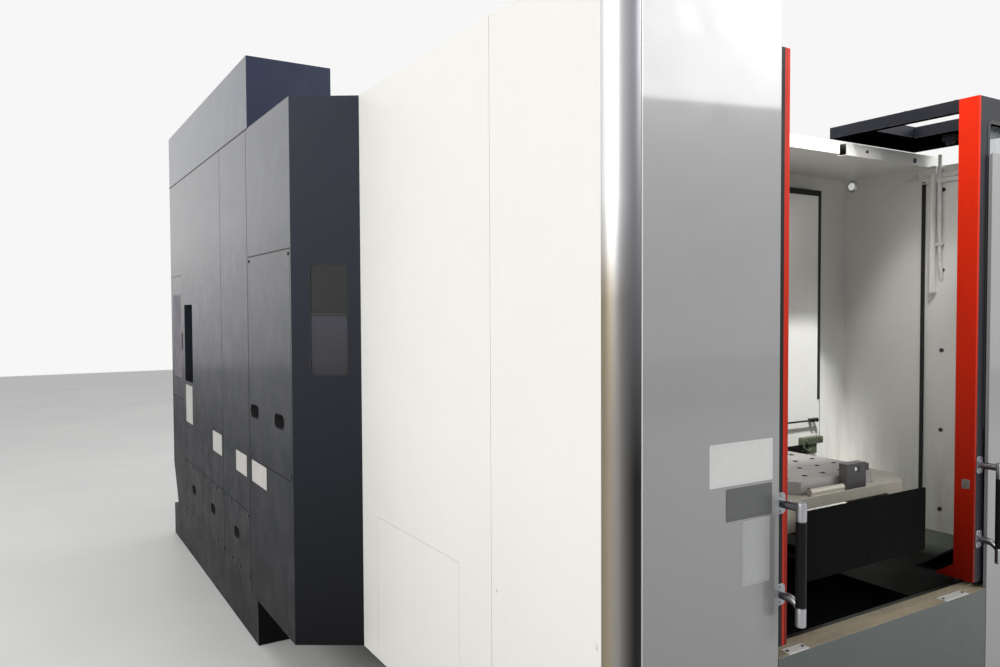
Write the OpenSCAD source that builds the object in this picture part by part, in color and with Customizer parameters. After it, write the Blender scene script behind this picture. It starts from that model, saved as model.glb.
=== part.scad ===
// Horizontal machining centre with a two-pallet changer and a side tool magazine.
// Frame: floor at z = 0, x = 0 on the pallet and spindle line, the loading front faces -Y.
// Inside the modules, y counts backwards from the face of the front panels.

/* [Casing] */
// Half width over the magazine cover on the left and the cabinet on the right
outer_half_w = 1390; // [1350:5:1500]
// Half width of the light body
body_half_w = 1137; // [1110:1:1170]
// Height of the low right front panel
right_front_h = 2220; // [2100:5:2280]
// Height of the underside of the side panels
panel_bottom = 226; // [180:2:280]
// Height of the underside of the front panels
front_bottom = 80; // [60:5:120]
// Thickness of the folded sheet
sheet = 3; // [2:0.5:4]
// Radius of the rounded corner posts
corner_r = 70; // [50:1:90]
// Width of the dark joint between two sheets
joint_gap = 3; // [1:0.5:5]
// Half width of the opening between the fixed front panels
front_inner = 552; // [530:1:580]
// Depth of the inward fold on the fixed front panels
front_fold = 12; // [8:1:13]
// Length of the light left side, front to back
side_len = 1710; // [1600:5:1800]
// Place of the upright joint in the left side
side_joint_y = 623; // [500:1:700]
// Front edge of the low hatch
hatch_y0 = 839; // [760:1:900]
// Rear edge of the low hatch
hatch_y1 = 1546; // [1400:1:1600]
// Top edge of the low hatch
hatch_top = 824; // [700:1:900]
// Width of the lip behind the hatch joint
hatch_lip = 18; // [10:1:30]

/* [Loading station] */
// Height of the sill shelf under the doors
sill_h = 672; // [640:1:700]
// Depth of the sill shelf
sill_d = 98; // [96:1:120]
// Half spacing of the inner walls
inner_half_w = 1049; // [1030:1:1070]
// Underside of the canopy
canopy_z0 = 2290; // [2280:1:2310]
// Top of the canopy
canopy_z1 = 2340; // [2330:1:2350]
// Front face of the canopy
canopy_y = 520; // [500:1:540]
// Width of the notch in the canopy front
canopy_notch_w = 44; // [30:1:60]
// Left edge of the notch in the canopy front
canopy_notch_x = 424; // [300:1:500]
// Height of the station floor at the inner walls
floor_z1 = 693; // [680:1:720]
// Height of the station floor at its inner edge
floor_z0 = 603; // [580:1:640]
// Half width of the chip slot in the floor
floor_slot = 430; // [410:1:450]
// Place of the upright seals on the inner walls
wall_seal_y = 538; // [530:1:560]
// Thickness of the black seals
seal_t = 12; // [8:1:16]
// Lower end of the upright seals
wall_seal_z0 = 870; // [840:5:900]
// Upper end of the upright seals
wall_seal_z1 = 2228; // [2200:2:2260]
// Place of the bolt row on the inner walls
wall_bolt_y = 459; // [440:1:500]
// Spacing of the bolts on the inner walls
wall_bolt_step = 348; // [300:1:360]

/* [Loading doors] */
// Width of one door leaf
leaf_w = 593; // [585:1:600]
// Thickness of one door leaf
leaf_t = 71; // [60:1:74]
// Front face of the leaves
leaf_y = 17; // [16:0.5:18]
// Underside of the leaves
leaf_z0 = 696; // [692:1:704]
// Top of the leaves and of their roof frames
leaf_z1 = 2419; // [2412:1:2424]
// Half width of the open doorway
open_half = 494; // [485:1:500]
// Width of the orange strip on the leaf's front
edge_w = 12; // [8:1:24]
// Height of the tall left box above the leaves
tall_rise = 167; // [100:1:240]
// Height of the roof frame's bars
roof_bar_h = 45; // [40:1:50]
// Depth of the roof frame behind the leaf
roof_d = 530; // [500:1:560]
// Depth of the roof frame's rear bar
roof_rear_bar = 190; // [150:1:220]
// Width of the roof frame's inner bar
roof_inner_bar = 30; // [20:1:50]
// Width of the roof frame's outer bar
roof_outer_bar = 300; // [250:1:330]
// Bottom of the leaf's window
window_z0 = 1240; // [1200:5:1300]
// Top rail above the leaf's window
window_top_rail = 86; // [60:1:120]
// Stile beside the leaf's window
window_stile = 62; // [50:1:80]
// Thickness of the window panes
pane_t = 6; // [4:1:10]
// Reach of the guard behind the leaf's foot
guard_d = 140; // [100:1:150]
// Height of the guard behind the leaf's foot
guard_h = 110; // [90:1:116]
// Reach of the orange foot behind the leaf
foot_d = 65; // [50:1:75]

/* [Handles] */
// Distance from the front panels' face to the front of the grip
handle_reach = 70; // [66:1:90]
// Distance of the handle from the leaf's leading edge
handle_inset = 32; // [26:1:40]
// Radius of the grip
grip_r = 14; // [12:0.5:15]
// Lower end of the grip
grip_z0 = 834; // [820:1:850]
// Upper end of the grip
grip_z1 = 1079; // [1050:1:1100]
// Length of the silver ferrules beyond the grip
ferrule_l = 54; // [50:1:60]
// Bend radius of the handle's lower arm
handle_bend = 40; // [34:1:44]

/* [Pallet changer] */
// Place of the changer's turning axis
changer_y = 877; // [876:1:880]
// Distance from that axis to a pallet's centre
pallet_reach = 417; // [412:1:420]
// Side of a pallet
pallet_side = 500; // [490:1:504]
// Top of a pallet as it stands, raised
pallet_top = 1102; // [1097:1:1112]
// Thickness of a pallet
pallet_t = 82; // [78:1:88]
// Cut on a pallet's corners
pallet_cut = 60; // [40:1:80]
// Travel of the lift, downwards
lift_travel = 95; // [92:1:97]
// Half width of the fork arm
fork_half_w = 400; // [380:1:404]
// Half length of the fork arm
fork_half_l = 706; // [700:1:710]
// Underside of the fork arm
fork_z0 = 955; // [950:1:960]
// Height of the fork arm
fork_h = 104; // [98:1:108]
// Cut on the fork arm's corners
fork_cut = 90; // [84:1:110]
// Half width of the slot between the forks
fork_slot = 225; // [222:1:228]
// Half width of the closed middle of the fork arm
fork_middle = 158; // [150:1:162]
// Radius of the changer's fixed column
changer_column_r = 165; // [140:1:166]
// Radius of the lift ram
ram_r = 120; // [90:1:130]
// Running gap of rams and shafts
running_gap = 0.05; // [0.02:0.01:0.09]
// Half width of the turning partition over its seal
partition_half_w = 760; // [740:1:764]
// Thickness of the partition
partition_t = 56; // [40:1:60]
// Width of the partition's seal
partition_seal = 14; // [10:1:24]
// Top of the partition's seal
partition_z1 = 2210; // [2190:1:2230]
// Gap around the turning partition
partition_gap = 20; // [17:1:26]
// Place of the fixed frame behind the partition's middle
partition_frame_y = 60; // [40:1:80]
// Depth of the fixed frame around the partition
partition_frame_d = 30; // [20:1:40]
// Half width of the apron
apron_half_w = 323; // [300:1:340]
// Underside of the apron
apron_z0 = 825; // [820:1:840]
// Top of the apron
apron_z1 = 1043; // [1030:1:1047]
// Side of the large clamp block
clamp_block = 100; // [80:1:110]
// Height of the large clamp block
clamp_block_h = 86; // [70:1:100]

/* [Machine bed and axes] */
// Half width of the front bed
bed_half_w = 520; // [500:1:540]
// Half width of the rear bed
rear_bed_half_w = 800; // [795:1:830]
// Height of the front bed
bed_h = 560; // [540:1:572]
// Height of the rear bed
rear_bed_h = 640; // [620:1:650]
// Front of the rear bed
rear_bed_y0 = 2330; // [2325:1:2340]
// Rear of the rear bed
rear_bed_y1 = 3560; // [3500:5:3600]
// Width of a guide rail
rail_w = 45; // [35:1:55]
// Height of a guide rail
rail_h = 40; // [30:1:45]
// Gap between a carriage and its rail
slide_gap = 0.3; // [0.2:0.05:0.4]
// Half spacing of the table's rails
table_rail_x = 250; // [220:1:280]
// Radius of the rotary table
table_r = 213; // [200:1:216]
// Half width of the table saddle
saddle_half_w = 380; // [360:1:395]
// Half length of the table saddle
saddle_half_l = 240; // [220:1:248]
// Travel of the table
table_travel = 730; // [600:5:740]
// Place of the column's front rail
column_rail_y0 = 2570; // [2540:1:2600]
// Front face of the column behind that rail
column_face = 70; // [60:1:80]
// Place of the column's rear rail
column_rail_y1 = 3330; // [3300:1:3360]
// Half width of the column's foot
column_foot_half_w = 370; // [350:1:380]
// Half width of the column
column_half_w = 330; // [310:1:350]
// Half width of the window through the column
column_window = 170; // [160:1:180]
// Height of the column
column_h = 2500; // [2460:5:2540]
// Height of the spindle's axis at rest
spindle_z = 1550; // [1500:5:1600]
// Radius of the spindle head's barrel
barrel_r = 150; // [130:1:158]
// Place of the head's front face
head_nose_y = 2300; // [2290:1:2320]
// Radius of the spindle's shaft
spindle_r = 60; // [45:1:75]

/* [Tool magazine] */
// Radius of the tool wheel
wheel_r = 620; // [560:5:660]
// Place of the tool wheel's axis
wheel_y = 2750; // [2700:5:2800]
// Height of the tool wheel's axis
wheel_z = 1400; // [1350:5:1450]
// Number of tool pots
pot_count = 30; // [20:1:36]
// Radius of a tool pot
pot_r = 38; // [30:1:44]
// Distance of the tool change arm's axis from the middle
arm_x = 700; // [690:1:720]
// Reach of the tool change arm to a tool
arm_reach = 335; // [320:1:345]
// Front edge of the slanted corner
magazine_front_y = 1871; // [1850:1:1900]
// Rear end of the dark cover
magazine_end_y = 4902; // [4800:2:4950]
// Front of the tower on the dark cover
tower_y = 2583; // [2500:1:2650]
// Height of the tower above the tall box
tower_rise = 363; // [260:1:420]
// Width of the tower
tower_w = 438; // [400:1:480]
// Thickness of the dark cover's sheet
cover_t = 4; // [3:0.5:5]
// Front of the dark plinth
plinth_y = 2490; // [2450:5:2550]
// Rear edge of the access panel
access_y1 = 2600; // [2560:1:2640]
// Bottom of the access panel
access_z0 = 933; // [900:1:1000]
// Top of the access panel
access_z1 = 1942; // [1900:1:2000]
// Upright joint behind the tower's front
cover_joint_y = 3225; // [3100:1:3300]
// Front edge of the tool setup door
setup_y0 = 4452; // [4430:1:4500]
// Rear edge of the tool setup door
setup_y1 = 4880; // [4860:1:4884]
// Bottom of the tool setup door
setup_z0 = 1050; // [1000:5:1100]
// Top of the tool setup door
setup_z1 = 1920; // [1850:5:1950]
// Front edge of the setup recess
recess_y0 = 4100; // [4050:1:4150]
// Rear edge of the setup recess
recess_y1 = 4380; // [4340:1:4420]
// Bottom of the setup recess
recess_z0 = 1190; // [1150:5:1250]
// Top of the setup recess
recess_z1 = 1715; // [1650:5:1750]
// Depth of the setup recess
recess_d = 160; // [100:5:200]

/* [Operator side] */
// Front edge of the operator doorway
op_y0 = 1250; // [1230:5:1300]
// Rear edge of the operator doorway
op_y1 = 2050; // [1950:5:2060]
// Bottom of the operator doorway
op_z0 = 760; // [740:5:800]
// Top of the operator doorway
op_z1 = 2100; // [2000:5:2110]
// Lap of the operator door over its doorway
op_lap = 20; // [10:1:30]
// Thickness of the operator door
op_t = 40; // [30:1:50]
// Travel of the operator door
op_travel = 670; // [600:5:690]
// Front of the electrical cabinet
cabinet_y0 = 2420; // [2400:5:2450]
// Rear of the electrical cabinet
cabinet_y1 = 3480; // [3400:5:3500]
// Top of the electrical cabinet
cabinet_h = 2300; // [2200:5:2400]
// Height of the cabinet's plinth
cabinet_plinth = 100; // [80:5:140]
// Depth of the cabinet's door
cabinet_door_t = 22; // [18:1:26]
// Height of the operator panel's underside
panel_z0 = 1050; // [1000:5:1100]
// Height of the operator panel's top
panel_z1 = 1830; // [1750:5:1880]
// Radius of the operator panel's post
panel_post_r = 18; // [14:1:22]

/* [Rear] */
// Rear wall of the rear cover
rear_wall_y = 4600; // [4550:5:4650]
// Half width of the chip conveyor
conveyor_half_w = 240; // [200:5:280]
// Rear end of the chip conveyor
conveyor_y1 = 5025; // [5000:5:5060]
// Top of the chip conveyor's outlet
conveyor_h = 1120; // [1050:5:1200]
// Radius of a levelling pad
foot_r = 60; // [45:1:70]
// Thickness of a levelling pad
foot_t = 25; // [20:1:30]

/* [Hidden] */

light_white = "#eceae3";
light_grey = "#c9ccd0";
charcoal = "#3b3e48";
near_black = "#17191b";
signal_orange = "#e63a15";
bare_metal = "#a9adb1";
iron_grey = "#6f7478";
clear_pane = "#9fb4bd";

// The whole machine is centred front to back between the grips and the conveyor.
tall_h = leaf_z1 + tall_rise;
tower_h = tall_h + tower_rise;
front_y = -(conveyor_y1 + handle_reach) / 2 + handle_reach;
leaf_back = leaf_y + leaf_t;
leaf_travel = open_half - 1;
roof_back = leaf_back + roof_d;
roof_clear = leaf_z1 + 11;
pallet_z0 = pallet_top - pallet_t;
fork_top = fork_z0 + fork_h;
table_y = changer_y + pallet_reach;
table_top = pallet_z0 - lift_travel - slide_gap;
carriage_z0 = 15;
magazine_inner_x = -700;
grip_y = -handle_reach + grip_r;
latch_x = 835;
latch_y = 298;

module placed() {
  translate([0, front_y, 0])
    children();
}

// A box between two corners, given as ranges
module block(x, y, z) {
  translate([x[0], y[0], z[0]])
    cube([x[1] - x[0], y[1] - y[0], z[1] - z[0]]);
}

// Both mirror images of a left or right piece
module both_sides() {
  children();
  mirror([1, 0, 0])
    children();
}

// The left door's pieces are the right door's, mirrored
module on_side(side) {
  mirror([side < 0 ? 1 : 0, 0, 0])
    children();
}

// A profile drawn in y and z, extruded along x
module along_x(x0, x1) {
  translate([x0, 0, 0])
    rotate([90, 0, 90])
      linear_extrude(x1 - x0)
        children();
}

// A profile drawn in x and z, extruded along y
module along_y(y0, y1) {
  translate([0, y1, 0])
    rotate([90, 0, 0])
      linear_extrude(y1 - y0)
        children();
}

// A shaft or hole along y
module rod_y(x, z, r, y0, y1) {
  translate([x, y1, z])
    rotate([90, 0, 0])
      cylinder(r = r, h = y1 - y0, $fn = 64);
}

// A shaft or hole along x
module rod_x(y, z, r, x0, x1) {
  translate([x0, y, z])
    rotate([0, 90, 0])
      cylinder(r = r, h = x1 - x0, $fn = 64);
}

// A slot with round ends through a wall that faces x
module side_slot(x0, x1, y, z, length, height) {
  block([x0, x1], [y - length / 2 + height / 2, y + length / 2 - height / 2],
    [z - height / 2, z + height / 2]);
  for (end = [-1, 1])
    rod_x(y + end * (length - height) / 2, z, height / 2, x0, x1);
}

// Bed, rails, feet

bed_rib_step = 240;

module base_casting() {
  color(iron_grey)
    placed()
      difference() {
        union() {
          block([-bed_half_w, bed_half_w], [sill_d, rear_bed_y0], [front_bottom, bed_h]);
          block([-rear_bed_half_w, rear_bed_half_w], [rear_bed_y0, rear_bed_y1],
            [front_bottom, rear_bed_h]);
        }
        // Cast pockets between the ribs along both flanks of the front bed
        both_sides()
          for (y = [sill_d + 60:bed_rib_step:rear_bed_y0 - bed_rib_step])
            block([bed_half_w - 60, bed_half_w + 1], [y, y + bed_rib_step - 60],
              [front_bottom + 60, bed_h - 90]);
        // Chip trough down the middle, under the table saddle
        block([-table_rail_x + 80, table_rail_x - 80],
          [changer_y + changer_column_r + 20, rear_bed_y0 - 60], [bed_h - 140, bed_h + 1]);
        // Cast pockets in the rear face of the rear bed
        for (x = [-rear_bed_half_w + 60, conveyor_half_w + 60])
          block([x, x + rear_bed_half_w - conveyor_half_w - 120],
            [rear_bed_y1 - 80, rear_bed_y1 + 1], [front_bottom + 60, rear_bed_h - 90]);
      }
}

module guide_rails() {
  color(bare_metal)
    placed() {
      for (side = [-1, 1])
        block([side * table_rail_x - rail_w / 2, side * table_rail_x + rail_w / 2],
          [changer_y + changer_column_r + 10, rear_bed_y0 - 30], [bed_h, bed_h + rail_h]);
      for (y = [column_rail_y0, column_rail_y1])
        block([-rear_bed_half_w + 20, rear_bed_half_w - 20], [y - rail_w / 2, y + rail_w / 2],
          [rear_bed_h, rear_bed_h + rail_h]);
    }
}

module levelling_foot(x, y) {
  translate([x, y, 0]) {
    cylinder(r = foot_r, h = foot_t, $fn = 48);
    cylinder(r = foot_r / 4, h = front_bottom, $fn = 32);
    translate([0, 0, foot_t])
      cylinder(r = foot_r / 2, h = foot_r / 4, $fn = 6);
  }
}

module levelling_feet() {
  color(iron_grey)
    placed() {
      for (side = [-1, 1])
        for (y = [sill_d + 120, (sill_d + rear_bed_y0) / 2, rear_bed_y0 - 120])
          levelling_foot(side * (bed_half_w - 90), y);
      for (side = [-1, 1])
        for (y = [rear_bed_y0 + 130, rear_bed_y1 - 120])
          levelling_foot(side * (rear_bed_half_w - 90), y);
    }
}

// Light casing

module corner_post(height, bottom) {
  // Quarter round outer skin with two flanges behind the neighbouring sheets
  translate([body_half_w - corner_r, corner_r, bottom])
    rotate([0, 0, -90])
      rotate_extrude(angle = 90, $fn = 96)
        translate([corner_r - sheet, 0])
          square([sheet, height - bottom]);
  flange_z = [bottom, height - sheet];
  block([body_half_w - corner_r - 20, body_half_w - corner_r + 2], [sheet, 2 * sheet], flange_z);
  block([body_half_w - corner_r, body_half_w - corner_r + 2], [1, 2 * sheet], flange_z);
  block([body_half_w - 2 * sheet, body_half_w - sheet], [corner_r - 2, corner_r + 20], flange_z);
  block([body_half_w - 2 * sheet, body_half_w - 1], [corner_r - 2, corner_r], flange_z);
}

module left_corner_post() {
  color(bare_metal)
    placed()
      on_side(-1)
        corner_post(tall_h, panel_bottom);
}

module right_corner_post() {
  color(bare_metal)
    placed()
      corner_post(right_front_h, panel_bottom);
}

// A front panel with both upright edges folded back
module front_panel(height) {
  x0 = front_inner;
  x1 = body_half_w - corner_r - joint_gap;
  block([x0, x1], [0, sheet], [front_bottom, height]);
  block([x0, x0 + sheet], [0, front_fold], [front_bottom, height - sheet]);
}

module left_front_panel() {
  color(light_grey)
    placed()
      on_side(-1)
        front_panel(tall_h);
}

module right_front_panel() {
  color(light_grey)
    placed()
      front_panel(right_front_h);
}

module left_side_front_panel() {
  color(light_white)
    placed()
      block([-body_half_w, -body_half_w + sheet],
        [corner_r + joint_gap / 2, side_joint_y - joint_gap / 2], [panel_bottom, tall_h]);
}

module left_side_rear_panel() {
  y0 = side_joint_y + joint_gap / 2;
  color(light_white)
    placed() {
      difference() {
        block([-body_half_w, -body_half_w + sheet], [y0, side_len], [panel_bottom, tall_h]);
        block([-body_half_w - 1, -body_half_w + sheet + 1], [hatch_y0, hatch_y1],
          [panel_bottom - 1, hatch_top]);
      }
      // Folded rear edge, cut away where the canopy passes
      for (z = [[panel_bottom, canopy_z0], [canopy_z1, tall_h]])
        block([-body_half_w, -body_half_w + 30], [side_len - sheet, side_len], z);
      // Flange behind the front sheet
      block([-body_half_w + sheet, -body_half_w + 2 * sheet], [y0 - 25, y0 + 25],
        [panel_bottom, tall_h - sheet]);
      // Lip behind the hatch joint
      difference() {
        block([-body_half_w + sheet, -body_half_w + 2 * sheet],
          [hatch_y0 - hatch_lip, hatch_y1 + hatch_lip], [panel_bottom, hatch_top + hatch_lip]);
        block([-body_half_w, -body_half_w + 3 * sheet],
          [hatch_y0 + hatch_lip, hatch_y1 - hatch_lip],
          [panel_bottom - 1, hatch_top - hatch_lip]);
      }
    }
}

module side_hatch() {
  color(light_white)
    placed()
      block([-body_half_w, -body_half_w + sheet],
        [hatch_y0 + joint_gap / 2, hatch_y1 - joint_gap / 2],
        [panel_bottom, hatch_top - joint_gap / 2]);
}

module left_top_cover() {
  color(light_white)
    placed() {
      // Top sheet, rounded to the corner post
      difference() {
        block([-body_half_w + sheet, -front_inner], [sheet, side_len - sheet],
          [tall_h - sheet, tall_h]);
        difference() {
          block([-body_half_w, -body_half_w + corner_r], [0, corner_r],
            [tall_h - sheet - 1, tall_h + 1]);
          translate([-body_half_w + corner_r, corner_r, tall_h - sheet - 2])
            cylinder(r = corner_r - sheet, h = sheet + 4, $fn = 96);
        }
      }
      // Inner wall of the tall box, cut away where the roof frame slides under it
      block([-front_inner - sheet, -front_inner], [front_fold, side_len - sheet],
        [roof_clear, tall_h]);
      block([-front_inner - sheet, -front_inner], [roof_back + 15, side_len - sheet],
        [canopy_z1, roof_clear]);
      // Rear wall above the canopy
      block([-body_half_w + sheet, -front_inner], [side_len - 2 * sheet, side_len - sheet],
        [canopy_z1, tall_h]);
    }
}

module right_side_panel() {
  step_y = roof_back - 15;
  bracket_x = body_half_w;
  color(light_white)
    placed() {
      difference() {
        union() {
          block([body_half_w - sheet, body_half_w], [corner_r + joint_gap / 2, rear_bed_y0],
            [panel_bottom, right_front_h]);
          block([body_half_w - sheet, body_half_w], [step_y, rear_bed_y0],
            [panel_bottom, canopy_z1]);
          block([inner_half_w + sheet, body_half_w], [leaf_back + 8, step_y],
            [right_front_h - sheet, right_front_h]);
          // Folded rear end that closes the body behind the inner wall
          block([inner_half_w + sheet, body_half_w], [rear_bed_y0 - sheet, rear_bed_y0],
            [panel_bottom, canopy_z1]);
        }
        block([body_half_w - sheet - 1, body_half_w + 1], [op_y0, op_y1], [op_z0, op_z1]);
      }
      // Channels that carry the operator door
      op_door_z0 = op_z0 - op_lap;
      op_door_z1 = op_z1 + op_lap;
      channel_y = [op_y0 - op_lap - op_travel - 5, op_y1 + op_lap + 5];
      for (z = [[op_door_z0 - 15, op_door_z0 - slide_gap],
                [op_door_z1 + slide_gap, op_door_z1 + 15]])
        block([body_half_w, body_half_w + op_t + 8], channel_y, z);
      // Brackets of the operator panel's post
      for (z = [panel_z0 - 80, panel_z1 + 50])
        difference() {
          block([bracket_x, panel_post_x + 28], [panel_post_y - 20, panel_post_y + 20],
            [z, z + 30]);
          translate([panel_post_x, panel_post_y, z - 1])
            cylinder(r = panel_post_r + running_gap, h = 40, $fn = 48);
        }
    }
}

module sill_panel() {
  color(light_grey)
    placed() {
      // Front face between the fixed panels, with folded edges
      block([-front_inner + joint_gap, front_inner - joint_gap], [0, sheet],
        [front_bottom, sill_h]);
      for (side = [-1, 1])
        block([side * (front_inner - joint_gap) - (side > 0 ? sheet : 0),
          side * (front_inner - joint_gap) + (side > 0 ? 0 : sheet)], [0, sill_d],
          [front_bottom, sill_h]);
      // Shelf that carries the door track, also behind the fixed panels
      block([-front_inner + joint_gap, front_inner - joint_gap], [0, sill_d],
        [sill_h - sheet, sill_h]);
      both_sides()
        block([front_inner - joint_gap - 1, inner_half_w + 30], [front_fold + 1, sill_d],
          [sill_h - sheet, sill_h]);
      // Rear flange on the bed
      block([-front_inner + joint_gap, front_inner - joint_gap], [sill_d - sheet, sill_d],
        [front_bottom, sill_h]);
    }
}

// Hollow roof over the station and the machining area
module canopy() {
  x = [-body_half_w + 2 * sheet, body_half_w - sheet];
  y = [canopy_y, rear_bed_y0 - sheet];
  color(light_white)
    placed()
      difference() {
        block(x, y, [canopy_z0, canopy_z1]);
        for (bay = [[y[0] + sheet, changer_y - sheet], [changer_y, y[1] - sheet]])
          block([x[0] + sheet, x[1] - sheet], bay, [canopy_z0 + sheet, canopy_z1 - sheet]);
        block([canopy_notch_x, canopy_notch_x + canopy_notch_w], [canopy_y - 1, canopy_y + 24],
          [canopy_z0 - 1, canopy_z1 + 1]);
      }
}

wall_bolt_z = [for (row = [0:4]) sill_h + 122 + row * wall_bolt_step];

module inner_walls() {
  color(light_white)
    placed() {
      // Right wall, open at the operator door
      difference() {
        block([inner_half_w, inner_half_w + sheet], [sill_d, rear_bed_y0 - sheet],
          [floor_z1, canopy_z0]);
        block([inner_half_w - 1, inner_half_w + sheet + 1], [op_y0, op_y1], [op_z0, op_z1]);
      }
      // Left wall, open for the tool change arm
      difference() {
        block([-inner_half_w - sheet, -inner_half_w], [sill_d, rear_bed_y0 - sheet],
          [floor_z1, canopy_z0]);
        block([-inner_half_w - sheet - 1, -inner_half_w + 1],
          [tool_door_y0, rear_bed_y0 - sheet - 20],
          [spindle_z - arm_reach - 100, spindle_z + arm_reach + 100]);
      }
    }
}

tool_door_y0 = 1900;

// Height of the sloping chip floor at a distance from the middle
function floor_at(x) = floor_z0
  + (x - floor_slot) * (floor_z1 - floor_z0) / (inner_half_w + sheet - floor_slot);

// Foot of an upright that stands just clear of that slope
function foot_at(x) = floor_at(x) + 0.05;

module partition_frame() {
  y0 = changer_y + partition_frame_y;
  x = partition_half_w + partition_gap;
  z = partition_z1 + partition_gap;
  color(light_white)
    placed()
      along_y(y0, y0 + partition_frame_d)
        polygon([[inner_half_w, foot_at(inner_half_w)], [inner_half_w, canopy_z0],
          [-inner_half_w, canopy_z0], [-inner_half_w, foot_at(inner_half_w)],
          [-x, foot_at(x)], [-x, z], [x, z], [x, foot_at(x)]]);
}

module wall_seals() {
  color(near_black)
    placed()
      both_sides()
        block([inner_half_w - seal_t, inner_half_w], [wall_seal_y, wall_seal_y + seal_t],
          [wall_seal_z0, wall_seal_z1]);
}

// Sloping chip floor on both sides, with an upright lip on the bed
module chip_floor() {
  color("#8d9489")
    placed()
      both_sides()
        along_y(sill_d, rear_bed_y0)
          polygon([[inner_half_w + sheet, floor_z1], [floor_slot, floor_z0], [floor_slot, bed_h],
            [floor_slot + sheet, bed_h], [floor_slot + sheet, floor_z0 - sheet],
            [inner_half_w + sheet, floor_z1 - sheet]]);
}

conduit_r = 14;

module cable_conduit() {
  x = inner_half_w - conduit_r;
  y = canopy_y - 22;
  z0 = 1745;
  color(light_white)
    placed() {
      translate([x, y, z0])
        cylinder(r = conduit_r, h = canopy_z0 - z0, $fn = 32);
      // Elbow into the wall
      translate([x, y, z0])
        sphere(r = conduit_r, $fn = 32);
      rod_x(y, z0, conduit_r, x, inner_half_w);
      // Clamp and header box
      block([inner_half_w - 2 * conduit_r - 6, inner_half_w], [y - 24, y + 20],
        [canopy_z0 - 40, canopy_z0 - 12]);
      block([inner_half_w - 2 * conduit_r - 6, inner_half_w], [y - 120, y - 100],
        [canopy_z0 - 52, canopy_z0 - 32]);
      block([inner_half_w - 12, inner_half_w], [y - 120, y], [canopy_z0 - 52, canopy_z0 - 32]);
    }
}

track_w = 24;

module door_track() {
  track_y = leaf_y + leaf_t / 2;
  half_l = open_half + leaf_w - 4;
  color(bare_metal)
    placed()
      block([-half_l, half_l], [track_y - track_w / 2, track_y + track_w / 2],
        [sill_h, leaf_z0 - 14]);
}

screw_r = 7;
screw_h = 4;

module panel_screws() {
  color(bare_metal)
    placed() {
      // Bolts in the station's inner walls
      both_sides()
        for (z = wall_bolt_z)
          rod_x(wall_bolt_y, z, screw_r + 2, inner_half_w - screw_h, inner_half_w);
      // Screw row along the lower panels of the dark cover
      for (z = [lower_panel_z1 - 25, panel_bottom + 75])
        for (y = [tower_y + 80:190:recess_y1])
          rod_x(y, z, screw_r, -outer_half_w - screw_h, -outer_half_w);
      // Corner screws of the access panel
      for (y = [magazine_front_y + 36, access_y1 - 20])
        for (z = [access_z0 + 20, access_z1 - 20])
          rod_x(y, z, screw_r, -outer_half_w - screw_h, -outer_half_w);
      // Screws low on the light side panel
      for (y = [corner_r + 22, side_joint_y - 30])
        rod_x(y, hatch_top - 19, screw_r, -body_half_w - screw_h, -body_half_w);
    }
}

// Loading doors, drawn for the right leaf

module leaf_frame() {
  x0 = open_half;
  x1 = open_half + leaf_w;
  skin = sheet;
  window_z1 = leaf_z1 - window_top_rail;
  roof_z0 = leaf_z1 - roof_bar_h;
  difference() {
    union() {
      block([x0 + edge_w, x1], [leaf_y, leaf_back], [leaf_z0, leaf_z1]);
      block([x0 + skin, x0 + edge_w], [leaf_y + skin, leaf_back - skin], [leaf_z0, leaf_z1]);
    }
    block([x0 + window_stile, x1 - window_stile], [leaf_y - 1, leaf_back + 1],
      [window_z0, window_z1]);
    // Shallow pressed fields in the lower panel, front and back
    for (y = [[leaf_y - 1, leaf_y + 8], [leaf_back - 8, leaf_back + 1]])
      block([x0 + window_stile, x1 - window_stile], y, [leaf_z0 + 130, window_z0 - 40]);
  }
  // Roof frame behind the leaf, open in the middle for the crane hook
  difference() {
    block([x0, x1], [leaf_back, roof_back], [roof_z0, leaf_z1]);
    block([x0 + roof_inner_bar, x1 - roof_outer_bar],
      [leaf_back + 20, roof_back - roof_rear_bar], [roof_z0 - 1, leaf_z1 + 1]);
  }
  // Latch under the roof frame
  block([latch_x, latch_x + 34], [latch_y, latch_y + 46], [roof_z0 - 24, roof_z0]);
  rod_x(latch_y + 23, roof_z0 - 26, 16, latch_x + 8, latch_x + 26);
  // Shoes that run on the track
  for (x = [x0 + 40, x1 - 140])
    difference() {
      block([x, x + 100], [leaf_y + leaf_t / 2 - 26, leaf_y + leaf_t / 2 + 26],
        [sill_h + 6, leaf_z0]);
      block([x - 1, x + 101],
        [leaf_y + leaf_t / 2 - track_w / 2 - 1, leaf_y + leaf_t / 2 + track_w / 2 + 1],
        [sill_h, leaf_z0 - 14 + slide_gap]);
    }
  // Folded guard behind the foot of the leaf
  along_x(x0 + skin, inner_half_w - 12)
    polygon([[leaf_back, leaf_z0 + guard_h], [leaf_back, leaf_z0 + guard_h - 8],
      [leaf_back + guard_d - 8, leaf_z0 + 6], [leaf_back, leaf_z0 + 6], [leaf_back, leaf_z0],
      [leaf_back + guard_d, leaf_z0], [leaf_back + guard_d, leaf_z0 + 8]]);
}

// Orange strip wrapped round the leading edge, with a flared foot
module leaf_edge() {
  x0 = open_half;
  lip = sheet;
  block([x0, x0 + lip], [leaf_y, leaf_back], [leaf_z0, leaf_z1]);
  block([x0, x0 + edge_w], [leaf_y, leaf_y + lip], [leaf_z0, leaf_z1]);
  block([x0, x0 + edge_w], [leaf_back - lip, leaf_back], [leaf_z0, leaf_z1 - roof_bar_h]);
  along_x(x0, x0 + lip)
    polygon([[leaf_back - 1, leaf_z0 + 50], [leaf_back + foot_d, leaf_z0 + 6],
      [leaf_back + foot_d, leaf_z0], [leaf_back - 1, leaf_z0]]);
}

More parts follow.
